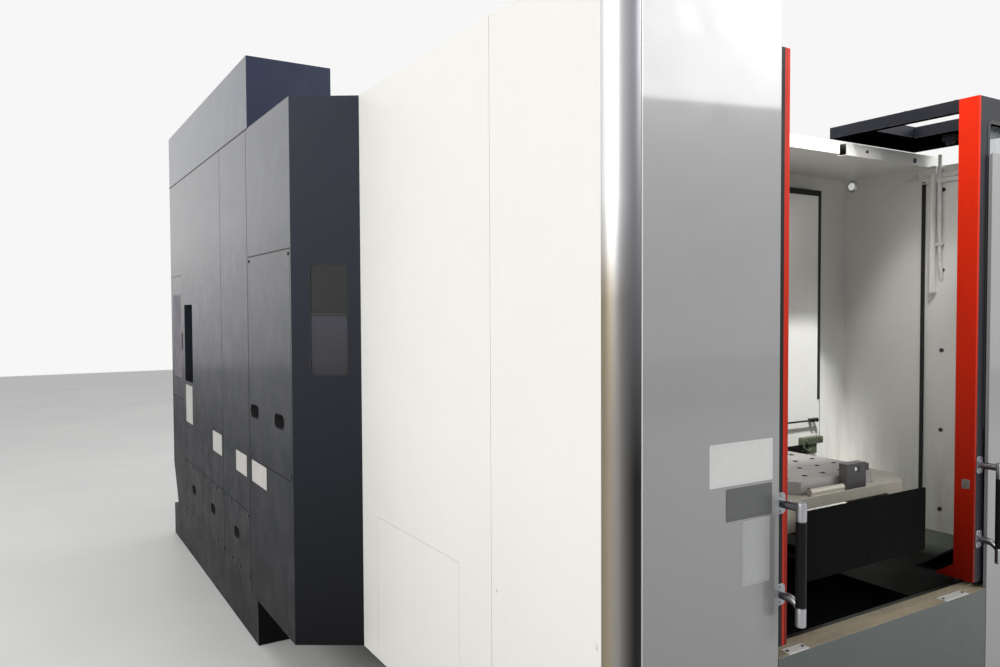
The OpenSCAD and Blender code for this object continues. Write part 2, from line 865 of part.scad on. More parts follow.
module leaf_window() {
  y0 = leaf_y + leaf_t / 2 - pane_t / 2;
  block([open_half + window_stile, open_half + leaf_w - window_stile], [y0, y0 + pane_t],
    [window_z0, leaf_z1 - window_top_rail]);
}

// Bow handle: a round grip between two ferrules, its lower arm bent down to the ferrule
module leaf_handle() {
  x = open_half + handle_inset;
  arm_r = grip_r - 2;
  low_z = grip_z0 + arm_r + 4;
  top_z = grip_z1 + ferrule_l - arm_r - 5;
  translate([x, grip_y, grip_z0 - ferrule_l])
    cylinder(r = grip_r - 1, h = grip_z1 - grip_z0 + 2 * ferrule_l, $fn = 48);
  translate([x, grip_y, grip_z0])
    cylinder(r = grip_r, h = grip_z1 - grip_z0, $fn = 48);
  rod_y(x, top_z, arm_r, grip_y, leaf_y - 5);
  translate([x, grip_y + handle_bend, low_z - handle_bend])
    rotate([90, 0, 90])
      rotate([0, 0, 90])
        rotate_extrude(angle = 90, $fn = 48)
          translate([handle_bend, 0])
            circle(r = arm_r, $fn = 48);
  rod_y(x, low_z, arm_r, grip_y + handle_bend, leaf_y - 5);
  // Mounting pads on the leaf
  for (z = [low_z, top_z])
    rod_y(x, z, grip_r + 3, leaf_y - 5, leaf_y);
}

module left_door_frame() {
  color(charcoal)
    placed()
      on_side(-1)
        leaf_frame();
}

module right_door_frame() {
  color(charcoal)
    placed()
      leaf_frame();
}

module left_door_edge() {
  color(signal_orange)
    placed()
      on_side(-1)
        leaf_edge();
}

module right_door_edge() {
  color(signal_orange)
    placed()
      leaf_edge();
}

module left_door_window() {
  color(clear_pane)
    placed()
      on_side(-1)
        leaf_window();
}

module right_door_window() {
  color(clear_pane)
    placed()
      leaf_window();
}

module left_door_handle() {
  color(bare_metal)
    placed()
      on_side(-1)
        leaf_handle();
}

module right_door_handle() {
  color(bare_metal)
    placed()
      leaf_handle();
}

// Pallet changer

ram_z0 = bed_h + lift_travel + 12;

module changer_column() {
  color(iron_grey)
    placed()
      difference() {
        translate([0, changer_y, bed_h])
          cylinder(r = changer_column_r, h = fork_z0 - lift_travel - 10 - bed_h, $fn = 96);
        translate([0, changer_y, bed_h + 6])
          cylinder(r = ram_r + running_gap, h = fork_z0, $fn = 96);
      }
}

module lift_ram() {
  color(bare_metal)
    placed()
      translate([0, changer_y, ram_z0])
        cylinder(r = ram_r, h = fork_z0 - slide_gap - ram_z0, $fn = 96);
}

// A rectangle with cut corners, centred
module cut_rectangle(half_x, half_y, cut) {
  polygon([[half_x - cut, -half_y], [half_x, -half_y + cut], [half_x, half_y - cut],
    [half_x - cut, half_y], [-half_x + cut, half_y], [-half_x, half_y - cut],
    [-half_x, -half_y + cut], [-half_x + cut, -half_y]]);
}

// Double fork that carries a pallet at each end
module fork_arm() {
  end_bar = 26;
  ledge = pallet_side / 2 + 3;
  color("#b9b6aa")
    placed()
      translate([0, changer_y, 0])
        difference() {
          translate([0, 0, fork_z0])
            linear_extrude(fork_h)
              cut_rectangle(fork_half_w, fork_half_l, fork_cut);
          for (turn = [0, 180])
            rotate([0, 0, turn]) {
              // Slot for the table, under the pallet and out at the end
              block([-fork_slot, fork_slot], [fork_middle, fork_half_l + 1],
                [fork_z0 - 1, pallet_z0 + 2]);
              // Seat of the pallet
              translate([0, pallet_reach, pallet_z0])
                linear_extrude(fork_h)
                  cut_rectangle(ledge, ledge, pallet_cut);
            }
        }
}

module partition() {
  color(light_white)
    placed()
      translate([0, changer_y, 0]) {
        block([-partition_half_w + partition_seal, partition_half_w - partition_seal],
          [-partition_t / 2, partition_t / 2], [fork_top, partition_z1 - partition_seal]);
      }
}

// Rubber lip round the top and both sides of the partition
module partition_seal() {
  t = partition_t - 16;
  color(near_black)
    placed()
      translate([0, changer_y, 0])
        difference() {
          block([-partition_half_w, partition_half_w], [-t / 2, t / 2],
            [fork_top, partition_z1]);
          block([-partition_half_w + partition_seal, partition_half_w - partition_seal],
            [-t, t], [fork_top - 1, partition_z1 - partition_seal]);
        }
}

cone_r = 26;
cone_h = 24;
cone_spread = 130;

// Pallet with a grid of tapped holes above and four cone seats below
module pallet() {
  difference() {
    translate([0, 0, pallet_z0])
      linear_extrude(pallet_t)
        cut_rectangle(pallet_side / 2, pallet_side / 2, pallet_cut);
    for (x = [-2:2])
      for (y = [-2:2])
        translate([x * 95, y * 95, pallet_top - 30])
          cylinder(r = x == 0 && y == 0 ? 25 : 8, h = 31, $fn = 24);
    for (turn = [0:90:270])
      rotate([0, 0, turn + 45])
        translate([cone_spread, 0, pallet_z0 - 1])
          cylinder(r = cone_r + 3, h = cone_h + 8, $fn = 32);
    // Lifting holes in the front and rear faces
    for (x = [-150, 150])
      rod_y(x, pallet_top - 34, 9, -pallet_side / 2 - 1, pallet_side / 2 + 1);
  }
}

module front_pallet() {
  color(bare_metal)
    placed()
      translate([0, changer_y - pallet_reach, 0])
        pallet();
}

module rear_pallet() {
  color(bare_metal)
    placed()
      translate([0, changer_y + pallet_reach, 0])
        pallet();
}

// Locating block at the fork's front end, and the pallet's push bar
module clamp_blocks() {
  front = changer_y - fork_half_l;
  pallet_front = changer_y - pallet_reach - pallet_side / 2;
  hole_z = fork_top + clamp_block_h - 22;
  color(charcoal)
    placed() {
      difference() {
        block([5, 5 + clamp_block], [front + 4, pallet_front - 1],
          [fork_top, fork_top + clamp_block_h]);
        block([clamp_block - 56, clamp_block - 26], [front + 3, pallet_front],
          [hole_z - 11, hole_z + 11]);
      }
      rod_x(front + 14, fork_top + 11.5, 11, -180, -10);
      block([-180, -10], [front + 6, front + 22], [fork_top, fork_top + 6]);
      block([140, 184], [pallet_front + 8, pallet_front + 50], [pallet_top, pallet_top + 24]);
    }
}

// Dark apron in front of the pallet, carried from the changer's fixed column
module apron() {
  y0 = leaf_back + sheet;
  arm_z = [apron_z0, apron_z0 + 24];
  color(near_black)
    placed() {
      block([-apron_half_w, apron_half_w], [y0, y0 + sheet], [apron_z0, apron_z1]);
      difference() {
        for (x = [-110, 90])
          block([x, x + 20], [y0 + sheet - 1, changer_y], arm_z);
        translate([0, changer_y, 0])
          cylinder(r = changer_column_r, h = fork_z0, $fn = 96);
      }
    }
}

// Table, column and spindle

module table_saddle() {
  color(iron_grey)
    placed()
      difference() {
        block([-saddle_half_w, saddle_half_w],
          [table_y - saddle_half_l, table_y + saddle_half_l],
          [bed_h + carriage_z0, bed_h + rail_h + 100]);
        for (side = [-1, 1])
          block([side * table_rail_x - rail_w / 2 - slide_gap,
            side * table_rail_x + rail_w / 2 + slide_gap],
            [table_y - saddle_half_l - 1, table_y + saddle_half_l + 1],
            [bed_h, bed_h + rail_h + slide_gap]);
      }
}

module rotary_table() {
  z0 = bed_h + rail_h + 100 + slide_gap;
  color(bare_metal)
    placed()
      translate([0, table_y, 0]) {
        translate([0, 0, z0])
          cylinder(r = table_r - 20, h = table_top - 40 - z0, $fn = 96);
        translate([0, 0, table_top - 40])
          cylinder(r = table_r, h = 40, $fn = 96);
        for (turn = [0:90:270])
          rotate([0, 0, turn + 45])
            translate([cone_spread, 0, table_top - 1])
              cylinder(r = cone_r, h = cone_h + 1, $fn = 32);
      }
}

module column() {
  y0 = column_rail_y0 + column_face;
  y1 = column_rail_y1 + 10;
  foot_top = rear_bed_h + rail_h + 140;
  color(iron_grey)
    placed() {
      difference() {
        block([-column_foot_half_w, column_foot_half_w],
          [column_rail_y0 - 100, column_rail_y1 + 100], [rear_bed_h + carriage_z0, foot_top]);
        for (y = [column_rail_y0, column_rail_y1])
          block([-column_foot_half_w - 1, column_foot_half_w + 1],
            [y - rail_w / 2 - slide_gap, y + rail_w / 2 + slide_gap],
            [rear_bed_h, rear_bed_h + rail_h + slide_gap]);
      }
      // Upright portal with a window for the head's barrel
      difference() {
        along_x(-column_half_w, column_half_w)
          polygon([[y0, foot_top], [y1, foot_top], [y1 - 160, column_h], [y0, column_h]]);
        block([-column_window, column_window], [y0 - 1, y1 + 1],
          [foot_top + 80, column_h - 170]);
      }
      // Upright rails on the front of the portal
      for (side = [-1, 1])
        block([side * head_rail_x - rail_w / 2, side * head_rail_x + rail_w / 2],
          [y0 - rail_h, y0], [foot_top + 20, column_h - 60]);
    }
}

head_rail_x = 250;
head_half_w = 318;
head_plate_t = 70;
head_half_h = 255;

module spindle_head() {
  rail_face = column_rail_y0 + column_face - rail_h;
  y1 = rail_face + 25;
  color(iron_grey)
    placed()
      difference() {
        union() {
          block([-head_half_w, head_half_w], [y1 - head_plate_t, y1],
            [spindle_z - head_half_h, spindle_z + head_half_h]);
          rod_y(0, spindle_z, barrel_r, head_nose_y + 60, column_rail_y0 + 560);
          rod_y(0, spindle_z, barrel_r - 40, head_nose_y, head_nose_y + 60);
        }
        for (side = [-1, 1])
          block([side * head_rail_x - rail_w / 2 - slide_gap,
            side * head_rail_x + rail_w / 2 + slide_gap], [rail_face - slide_gap, y1 + 1],
            [spindle_z - head_half_h - 1, spindle_z + head_half_h + 1]);
        rod_y(0, spindle_z, spindle_r + running_gap, head_nose_y - 1, head_nose_y + 400);
      }
}

module spindle() {
  color(bare_metal)
    placed()
      difference() {
        union() {
          rod_y(0, spindle_z, spindle_r, head_nose_y, head_nose_y + 380);
          rod_y(0, spindle_z, spindle_r - 8, head_nose_y - 22, head_nose_y);
          // Driving keys on the nose
          for (side = [-1, 1])
            block([side * 38 - 6, side * 38 + 6], [head_nose_y - 30, head_nose_y - 22],
              [spindle_z - 9, spindle_z + 9]);
        }
        // Tapered socket for the tool
        translate([0, head_nose_y - 23, spindle_z])
          rotate([-90, 0, 0])
            cylinder(r1 = 31, r2 = 16, h = 110, $fn = 48);
      }
}

// Tool magazine

pot_ring_r = wheel_r - 62;
wheel_x0 = -outer_half_w + 60;
wheel_t = 40;
pot_l = 110;
pillar_x0 = -1095;
pillar_x1 = -1010;

module magazine_frame() {
  wall = 8;
  arm_z = [spindle_z - 120, spindle_z + 120];
  housing_y = head_nose_y + 20;
  color(charcoal)
    placed() {
      // Hollow plinth on the floor
      difference() {
        block([-outer_half_w, pillar_x1], [plinth_y, magazine_end_y], [0, panel_bottom]);
        block([-outer_half_w + wall, pillar_x1 - wall], [plinth_y + wall, magazine_end_y - wall],
          [-1, panel_bottom - wall]);
      }
      // Pillar that carries the wheel's shaft and the arm's drive
      difference() {
        union() {
          block([pillar_x0, pillar_x1], [wheel_y - 110, wheel_y + 110],
            [panel_bottom, spindle_z + 120]);
          block([pillar_x1 - 1, -arm_x - 130], [housing_y, wheel_y + 110], arm_z);
          block([-arm_x - 131, -arm_x + 60], [housing_y, housing_y + 160],
            [spindle_z - 90, spindle_z + 90]);
        }
        rod_x(wheel_y, wheel_z, 40 + running_gap, pillar_x0 - 1, pillar_x1 + 1);
        rod_y(-arm_x, spindle_z, 30 + running_gap, housing_y - 1, housing_y + 110);
      }
    }
}

module tool_wheel() {
  spokes = 6;
  color(bare_metal)
    placed()
      translate([wheel_x0, wheel_y, wheel_z])
        rotate([90, 0, 90]) {
          // Pierced disc
          difference() {
            cylinder(r = wheel_r, h = wheel_t, $fn = 120);
            for (spoke = [0:spokes - 1])
              rotate([0, 0, spoke * 360 / spokes])
                translate([wheel_r * 0.48, 0, -1])
                  cylinder(r = wheel_r * 0.19, h = wheel_t + 2, $fn = 64);
          }
          // Pots for the tools, open at their mouths
          for (pot = [0:pot_count - 1])
            rotate([0, 0, pot * 360 / pot_count])
              translate([pot_ring_r, 0, wheel_t - 1])
                difference() {
                  cylinder(r = pot_r, h = pot_l, $fn = 32);
                  translate([0, 0, 20])
                    cylinder(r = pot_r - 10, h = pot_l, $fn = 32);
                }
          // Hub and shaft in the pillar
          cylinder(r = 110, h = pillar_x0 - wheel_x0 - 12, $fn = 64);
          cylinder(r = 40, h = pillar_x1 - wheel_x0 - 5, $fn = 64);
        }
}

arm_y0 = head_nose_y - 85;
arm_y1 = head_nose_y - 45;

module tool_change_arm() {
  tip_r = 52;
  color(bare_metal)
    placed()
      translate([-arm_x, 0, spindle_z]) {
        difference() {
          union() {
            block([-55, 55], [arm_y0, arm_y1], [-arm_reach, arm_reach]);
            for (end = [-1, 1])
              rod_y(0, end * arm_reach, tip_r, arm_y0, arm_y1);
          }
          // Each tip is open to one side, where it takes the tool
          for (end = [-1, 1]) {
            rod_y(0, end * arm_reach, tip_r - 20, arm_y0 - 1, arm_y1 + 1);
            block([end > 0 ? 0 : -100, end > 0 ? 100 : 0], [arm_y0 - 1, arm_y1 + 1],
              [end * arm_reach - tip_r + 24, end * arm_reach + tip_r - 24]);
          }
        }
        rod_y(0, 0, 58, arm_y0 - 20, head_nose_y + 20 - slide_gap);
        rod_y(0, 0, 30, arm_y1, head_nose_y + 120);
      }
}

lower_panel_z1 = 640;
far_cut_y = 182;
far_cut_z = 320;
lower_joint_step = 600;
lower_joints = [tower_y + 32, cover_joint_y, cover_joint_y + lower_joint_step,
  cover_joint_y + 2 * lower_joint_step];

slant_k = (magazine_front_y - side_len) / (outer_half_w - body_half_w);

// Plan outline of the dark cover, inset by a wall thickness
module cover_plan(inset) {
  x0 = -outer_half_w + inset;
  x1 = -body_half_w - inset;
  step = side_len + inset / cos(atan(slant_k));
  polygon([[x1, step + inset * slant_k], [x0, step + (-body_half_w - x0) * slant_k],
    [x0, magazine_end_y - inset], [magazine_inner_x - inset, magazine_end_y - inset],
    [magazine_inner_x - inset, rear_bed_y0 + inset], [x1, rear_bed_y0 + inset]]);
}

// Places a shape on the slanted face: x along the face, z up, y into the cover
module on_slant() {
  translate([-outer_half_w, magazine_front_y, 0])
    rotate([0, 0, -atan(slant_k)])
      children();
}

pane_x0 = 82;
pane_x1 = 241;
pane_z0 = 1398;
pane_z1 = 1874;
pane_round = 20;
pane_bar_z = 1660;
pane_bar_h = 12;

module slant_window(y0, y1, grow) {
  along_y(y0, y1)
    union() {
      translate([pane_x0 - grow + pane_round, pane_z0 - grow])
        square([pane_x1 - pane_x0 + 2 * grow - 2 * pane_round, pane_z1 - pane_z0 + 2 * grow]);
      translate([pane_x0 - grow, pane_z0 - grow + pane_round])
        square([pane_x1 - pane_x0 + 2 * grow, pane_z1 - pane_z0 + 2 * grow - 2 * pane_round]);
      for (x = [pane_x0 - grow + pane_round, pane_x1 + grow - pane_round])
        for (z = [pane_z0 - grow + pane_round, pane_z1 + grow - pane_round])
          translate([x, z])
            circle(r = pane_round, $fn = 32);
    }
}

module magazine_cover() {
  groove = cover_t / 2;
  color(charcoal)
    placed() {
      setup_lugs();
      difference() {
        union() {
          difference() {
            translate([0, 0, panel_bottom])
              linear_extrude(tall_h - panel_bottom)
                cover_plan(0);
            translate([0, 0, panel_bottom - 1])
              linear_extrude(tall_h - panel_bottom - cover_t + 1)
                cover_plan(cover_t);
            // Open towards the machine below the canopy's roof
            block([-body_half_w - cover_t - 1, magazine_inner_x - cover_t],
              [side_len + 20, rear_bed_y0 + 10], [panel_bottom - 1, canopy_z1]);
            block([magazine_inner_x - cover_t - 1, magazine_inner_x + 1],
              [rear_bed_y0 - 1, rear_wall_y - 10], [panel_bottom - 1, tall_h - cover_t]);
          }
          // Lip behind the access panel's joint
          block([-outer_half_w + cover_t, -outer_half_w + 2 * cover_t],
            [magazine_front_y + 4, access_y1 + 20], [access_z0 - 20, access_z1 + 20]);
          // Box behind the setup recess
          block([-outer_half_w + 1, -outer_half_w + recess_d], [recess_y0 - 4, recess_y1 + 4],
            [recess_z0 - 4, recess_z1 + 4]);
        }
        // Access panel opening, through the lip too inside a narrow rim
        block([-outer_half_w - 1, -outer_half_w + cover_t],
          [magazine_front_y + 14, access_y1 + joint_gap],
          [access_z0 - joint_gap, access_z1 + joint_gap]);
        block([-outer_half_w - 1, -outer_half_w + 3 * cover_t],
          [magazine_front_y + 50, access_y1 - 22], [access_z0 + 22, access_z1 - 22]);
        // Setup door opening and recess
        block([-outer_half_w - 1, -outer_half_w + cover_t + 1],
          [setup_y0 - joint_gap, setup_y1 + joint_gap + 1],
          [setup_z0 - joint_gap, setup_z1 + joint_gap]);
        block([-outer_half_w - 1, -outer_half_w + recess_d - 4], [recess_y0, recess_y1],
          [recess_z0, recess_z1]);
        // Pressed joints between the sheets of the side
        for (y = [tower_y + 32, cover_joint_y])
          block([-outer_half_w - 1, -outer_half_w + groove], [y - joint_gap, y + joint_gap],
            [lower_panel_z1, tall_h + 1]);
        for (y = lower_joints)
          block([-outer_half_w - 1, -outer_half_w + groove], [y - joint_gap, y + joint_gap],
            [panel_bottom - 1, lower_panel_z1 + joint_gap]);
        block([-outer_half_w - 1, -outer_half_w + groove],
          [tower_y + 32, lower_joints[3] + joint_gap],
          [lower_panel_z1 - joint_gap, lower_panel_z1 + joint_gap]);
        // Finger slots in the lower panels
        for (panel = [0:2])
          side_slot(-outer_half_w - 1, -outer_half_w + cover_t + 1,
            (lower_joints[panel] + lower_joints[panel + 1]) / 2, 470, 120, 60);
        // Window in the slanted corner
        on_slant()
          slant_window(-20, 40, 0);
        // Cut lower corner at the far end
        along_x(-outer_half_w - 1, magazine_inner_x + 2)
          polygon([[magazine_end_y - far_cut_y, panel_bottom - 1],
            [magazine_end_y + 1, panel_bottom - 1], [magazine_end_y + 1, panel_bottom + far_cut_z]]);
      }
    }
}

module magazine_window() {
  color(clear_pane)
    placed()
      on_slant() {
        slant_window(cover_t, cover_t + pane_t, 15);
        // Bar across the pane
        block([pane_x0 + 1, pane_x1 - 1], [cover_t - 3, cover_t + 1],
          [pane_bar_z - pane_bar_h / 2, pane_bar_z + pane_bar_h / 2]);
      }
}

module tower_cover() {
  x0 = -outer_half_w;
  x1 = -outer_half_w + tower_w;
  color(charcoal)
    placed()
      difference() {
        block([x0, x1], [tower_y, magazine_end_y], [tall_h, tower_h]);
        block([x0 + cover_t, x1 - cover_t], [tower_y + cover_t, magazine_end_y - cover_t],
          [tall_h - 1, tower_h - cover_t]);
      }
}

module access_panel() {
  color(charcoal)
    placed()
      difference() {
        block([-outer_half_w, -outer_half_w + cover_t],
          [magazine_front_y + 14 + joint_gap, access_y1], [access_z0, access_z1]);
        for (y = [magazine_front_y + 201, access_y1 - 97])
          side_slot(-outer_half_w - 1, -outer_half_w + cover_t + 1, y, access_z0 + 242, 150, 65);
      }
}

setup_pin_r = 4;
hinge_x = -outer_half_w + cover_t + setup_pin_r + 1;
hinge_y = setup_y1 - 8;

// Lugs on the cover that hold the setup door's pins
module setup_lugs() {
  for (z = [setup_z0 - 16, setup_z1 + 8])
    difference() {
      block([-outer_half_w + cover_t - 1, hinge_x + 12], [hinge_y - 12, hinge_y + 12], [z, z + 8]);
      translate([hinge_x, hinge_y, z - 1])
        cylinder(r = setup_pin_r + running_gap, h = 10, $fn = 32);
    }
}

// Small door over the tool setup panel, hinged at its rear edge
module setup_door() {
  x0 = -outer_half_w;
  color(charcoal)
    placed() {
      difference() {
        block([x0, x0 + cover_t], [setup_y0, setup_y1], [setup_z0, setup_z1]);
        block([x0 - 1, x0 + 2], [setup_y0 + 60, setup_y1 - 60], [setup_z0 + 140, setup_z1 - 130]);
      }
      // Hinge pins at both ends of the rear edge
      for (z = [[setup_z0 - 18, setup_z0 + 1], [setup_z1 - 1, setup_z1 + 18]])
        translate([hinge_x, hinge_y, z[0]])
          cylinder(r = setup_pin_r, h = z[1] - z[0], $fn = 32);
      for (z = [setup_z0, setup_z1 - 40])
        block([x0 + cover_t - 1, hinge_x + 5], [hinge_y - 8, hinge_y + 5], [z, z + 40]);
      // Stiffening fold behind the plate
      difference() {
        block([x0 + cover_t - 1, x0 + 20], [setup_y0 + 3, setup_y1 - 28],
          [setup_z0 + 3, setup_z1 - 3]);
        block([x0 + cover_t, x0 + 21], [setup_y0 + 7, setup_y1 - 32],
          [setup_z0 + 7, setup_z1 - 7]);
      }
    }
}

// Operator side

panel_post_x = 1215;
panel_post_y = 490;
panel_x0 = 1168;
panel_x1 = 1298;
panel_y0 = 60;
panel_y1 = 496;

op_stile = 100;
op_window_y = [op_y0 + op_stile, op_y1 - op_stile];
op_window_z = [op_z0 + 500, op_z1 - op_stile - 10];

module operator_door() {
  y = [op_y0 - op_lap, op_y1 + op_lap];
  z = [op_z0 - op_lap, op_z1 + op_lap];
  x = [body_half_w + slide_gap, body_half_w + op_t];
  color(light_white)
    placed() {
      difference() {
        block(x, y, z);
        block([x[0] - 1, x[1] + 1], op_window_y, op_window_z);
      }
      // Bow handle near the rear edge
      for (end = [z[0] + 180, z[0] + 420])
        rod_x(y[1] - 60, end, 9, x[1], x[1] + 50);
      translate([x[1] + 50, y[1] - 60, z[0] + 168])
        cylinder(r = 12, h = 264, $fn = 32);
    }
}

module operator_window() {
  color(clear_pane)
    placed()
      block([body_half_w + 14, body_half_w + 14 + pane_t], op_window_y, op_window_z);
}

screen_z0 = 1440;

module operator_panel() {
  face_t = 12;
  color(light_grey)
    placed() {
      difference() {
        union() {
          block([panel_x0, panel_x1 - 40], [panel_y0, panel_y1], [panel_z0, panel_z1]);
          // Raised face, with a shallow field for the screen
          difference() {
            block([panel_x1 - 41, panel_x1], [panel_y0 + 8, panel_y1 - 8],
              [panel_z0 + 8, panel_z1 - 8]);
            block([panel_x1 - face_t, panel_x1 + 1], [panel_y0 + 50, panel_y1 - 50],
              [screen_z0, panel_z1 - 60]);
          }
        }
        // Hole for the emergency stop's stem
        rod_x(stop_y, stop_z, 11.3, panel_x1 - 60, panel_x1 + 1);
      }
      translate([panel_post_x, panel_post_y, panel_z0 - 80])
        cylinder(r = panel_post_r, h = panel_z1 - panel_z0 + 160, $fn = 48);
      translate([panel_post_x, panel_post_y, panel_z0 - 50 + slide_gap])
        cylinder(r = panel_post_r + 8, h = 50 - slide_gap, $fn = 48);
      // Key field
      for (row = [0:4])
        for (column = [0:7])
          block([panel_x1 - 1, panel_x1 + 4],
            [panel_y0 + 60 + column * 41, panel_y0 + 60 + column * 41 + 24],
            [panel_z0 + 160 + row * 38, panel_z0 + 160 + row * 38 + 22]);
    }
}

stop_y = 130;
stop_z = 1120;
stop_travel = 6;

module emergency_stop() {
  color("#d8201c")
    placed() {
      rod_x(stop_y, stop_z, 11, panel_x1 - 50, panel_x1 + 12);
      rod_x(stop_y, stop_z, 21, panel_x1 + 10, panel_x1 + 24);
      rod_x(stop_y, stop_z, 17, panel_x1 + 24, panel_x1 + 29);
    }
}

cabinet_x1 = outer_half_w - 18 - cabinet_door_t;

cabinet_pin_r = 4;
cabinet_knuckle = 60;
cabinet_hinge_x = cabinet_x1 + cabinet_door_t / 2;
cabinet_hinge_y = cabinet_y1 + 9;
cabinet_hinge_z = [cabinet_plinth + 250, cabinet_h - 330];

// Pins and lugs on the cabinet's rear side that carry its door
module cabinet_pins() {
  for (z = cabinet_hinge_z) {
    translate([cabinet_hinge_x, cabinet_hinge_y, z - 8])
      cylinder(r = cabinet_pin_r, h = cabinet_knuckle + 16, $fn = 32);
    for (lug = [z - 8, z + cabinet_knuckle + 1]) {
      translate([cabinet_hinge_x, cabinet_hinge_y, lug])
        cylinder(r = 8, h = 7, $fn = 32);
      block([cabinet_x1 - 30, cabinet_hinge_x], [cabinet_y1 - 1, cabinet_hinge_y + 3],
        [lug, lug + 7]);
    }
  }
}

module electrical_cabinet() {
  wall = 4;
  color(light_grey)
    placed() {
      difference() {
        block([rear_bed_half_w, cabinet_x1], [cabinet_y0, cabinet_y1], [cabinet_plinth, cabinet_h]);
        block([rear_bed_half_w + wall, cabinet_x1 + 1],
          [cabinet_y0 + wall, cabinet_y1 - wall], [cabinet_plinth + wall, cabinet_h - wall]);
      }
      cabinet_pins();
      // Mounting plate inside with a few device rows
      block([rear_bed_half_w + wall - 1, rear_bed_half_w + 60], [cabinet_y0 + 60, cabinet_y1 - 60],
        [cabinet_plinth + 60, cabinet_h - 60]);
      for (z = [cabinet_plinth + 300:420:cabinet_h - 400])
        block([rear_bed_half_w + 59, rear_bed_half_w + 190], [cabinet_y0 + 120, cabinet_y1 - 120],
          [z, z + 200]);
      // Plinth
      difference() {
        block([rear_bed_half_w + 40, cabinet_x1 - 20], [cabinet_y0 + 20, cabinet_y1 - 20],
          [0, cabinet_plinth]);
        block([rear_bed_half_w + 60, cabinet_x1 - 40], [cabinet_y0 + 40, cabinet_y1 - 40],
          [-1, cabinet_plinth + 1]);
      }
    }
}

switch_y = 2480;
switch_z = 1700;

module cabinet_door() {
  x = [cabinet_x1 + slide_gap, cabinet_x1 + cabinet_door_t];
  color(light_grey)
    placed() {
      difference() {
        block(x, [cabinet_y0 + 2, cabinet_y1 - 2], [cabinet_plinth + 2, cabinet_h - 2]);
        block([x[0] - 1, x[1] - 3], [cabinet_y0 + 8, cabinet_y1 - 8],
          [cabinet_plinth + 8, cabinet_h - 8]);
        rod_x(switch_y, switch_z, 8 + running_gap, x[0] - 1, x[1] + 1);
      }
      // Hinge knuckles that turn on the cabinet's pins
      for (z = cabinet_hinge_z)
        difference() {
          union() {
            translate([cabinet_hinge_x, cabinet_hinge_y, z])
              cylinder(r = 8, h = cabinet_knuckle, $fn = 32);
            block([cabinet_hinge_x - 3, cabinet_hinge_x + 3], [cabinet_y1 - 4, cabinet_hinge_y],
              [z, z + cabinet_knuckle]);
          }
          translate([cabinet_hinge_x, cabinet_hinge_y, z - 1])
            cylinder(r = cabinet_pin_r + running_gap, h = cabinet_knuckle + 2, $fn = 32);
        }
    }
}

// Rotary main switch on the cabinet door
module main_switch() {
  x1 = outer_half_w - 18;
  color(near_black)
    placed() {
      rod_x(switch_y, switch_z, 8, x1 - cabinet_door_t + 2, x1 + 8);
      rod_x(switch_y, switch_z, 28, x1 + slide_gap, x1 + 8);
      block([x1 + 7, outer_half_w + screw_h], [switch_y - 6, switch_y + 6],
        [switch_z - 26, switch_z + 26]);
    }
}

// Rear cover and conveyor

module rear_cover() {
  right_x = rear_bed_half_w;
  outlet_w = conveyor_half_w + 15;
  color(charcoal)
    placed()
      difference() {
        union() {
          block([magazine_inner_x + 2, right_x], [rear_bed_y0, rear_wall_y],
            [tall_h - sheet, tall_h]);
          block([right_x - sheet, right_x], [rear_bed_y0, rear_wall_y], [rear_bed_h, tall_h]);
          block([magazine_inner_x + 2, right_x], [rear_bed_y0, rear_bed_y0 + sheet],
            [canopy_z0, tall_h]);
          // Closes the room beside the rear bed
          block([right_x - sheet, body_half_w], [rear_bed_y0, rear_bed_y0 + sheet],
            [rear_bed_h, canopy_z1]);
          block([right_x, body_half_w], [rear_bed_y0, rear_bed_y0 + sheet],
            [panel_bottom, rear_bed_h + 1]);
          block([magazine_inner_x + 2, right_x], [rear_wall_y - sheet, rear_wall_y],
            [panel_bottom, tall_h]);
          block([right_x - sheet, right_x], [rear_bed_y1 + 1, rear_wall_y],
            [panel_bottom, tall_h]);
        }
        block([-outlet_w, outlet_w], [rear_wall_y - 10, rear_wall_y + 10],
          [0, conveyor_h + 15]);
        // Ventilation louvres high in the rear wall
        for (row = [0:9])
          block([-420, 420], [rear_wall_y - 10, rear_wall_y + 10],
            [tall_h - 420 + row * 34, tall_h - 420 + row * 34 + 14]);
      }
}

// Trough behind the bed, incline and outlet
module chip_conveyor() {
  wall = 6;
  y0 = rear_bed_y1;
  drop_y = conveyor_y1 - 145;
  color(light_grey)
    placed() {
      difference() {
        along_x(-conveyor_half_w, conveyor_half_w)
          polygon([[y0, 0], [y0 + 690, 0], [drop_y, conveyor_h - 320],
            [conveyor_y1, conveyor_h - 320], [conveyor_y1, conveyor_h],
            [drop_y - 80, conveyor_h], [y0 + 560, 330], [y0, 330]]);
        // Open outlet that drops the chips
        block([-conveyor_half_w + wall, conveyor_half_w - wall],
          [drop_y + wall, conveyor_y1 - wall], [conveyor_h - 321, conveyor_h - wall]);
      }
      // Drive motor on the side of the outlet
      rod_x(drop_y - 40, conveyor_h - 110, 70, conveyor_half_w, conveyor_half_w + 190);
    }
}

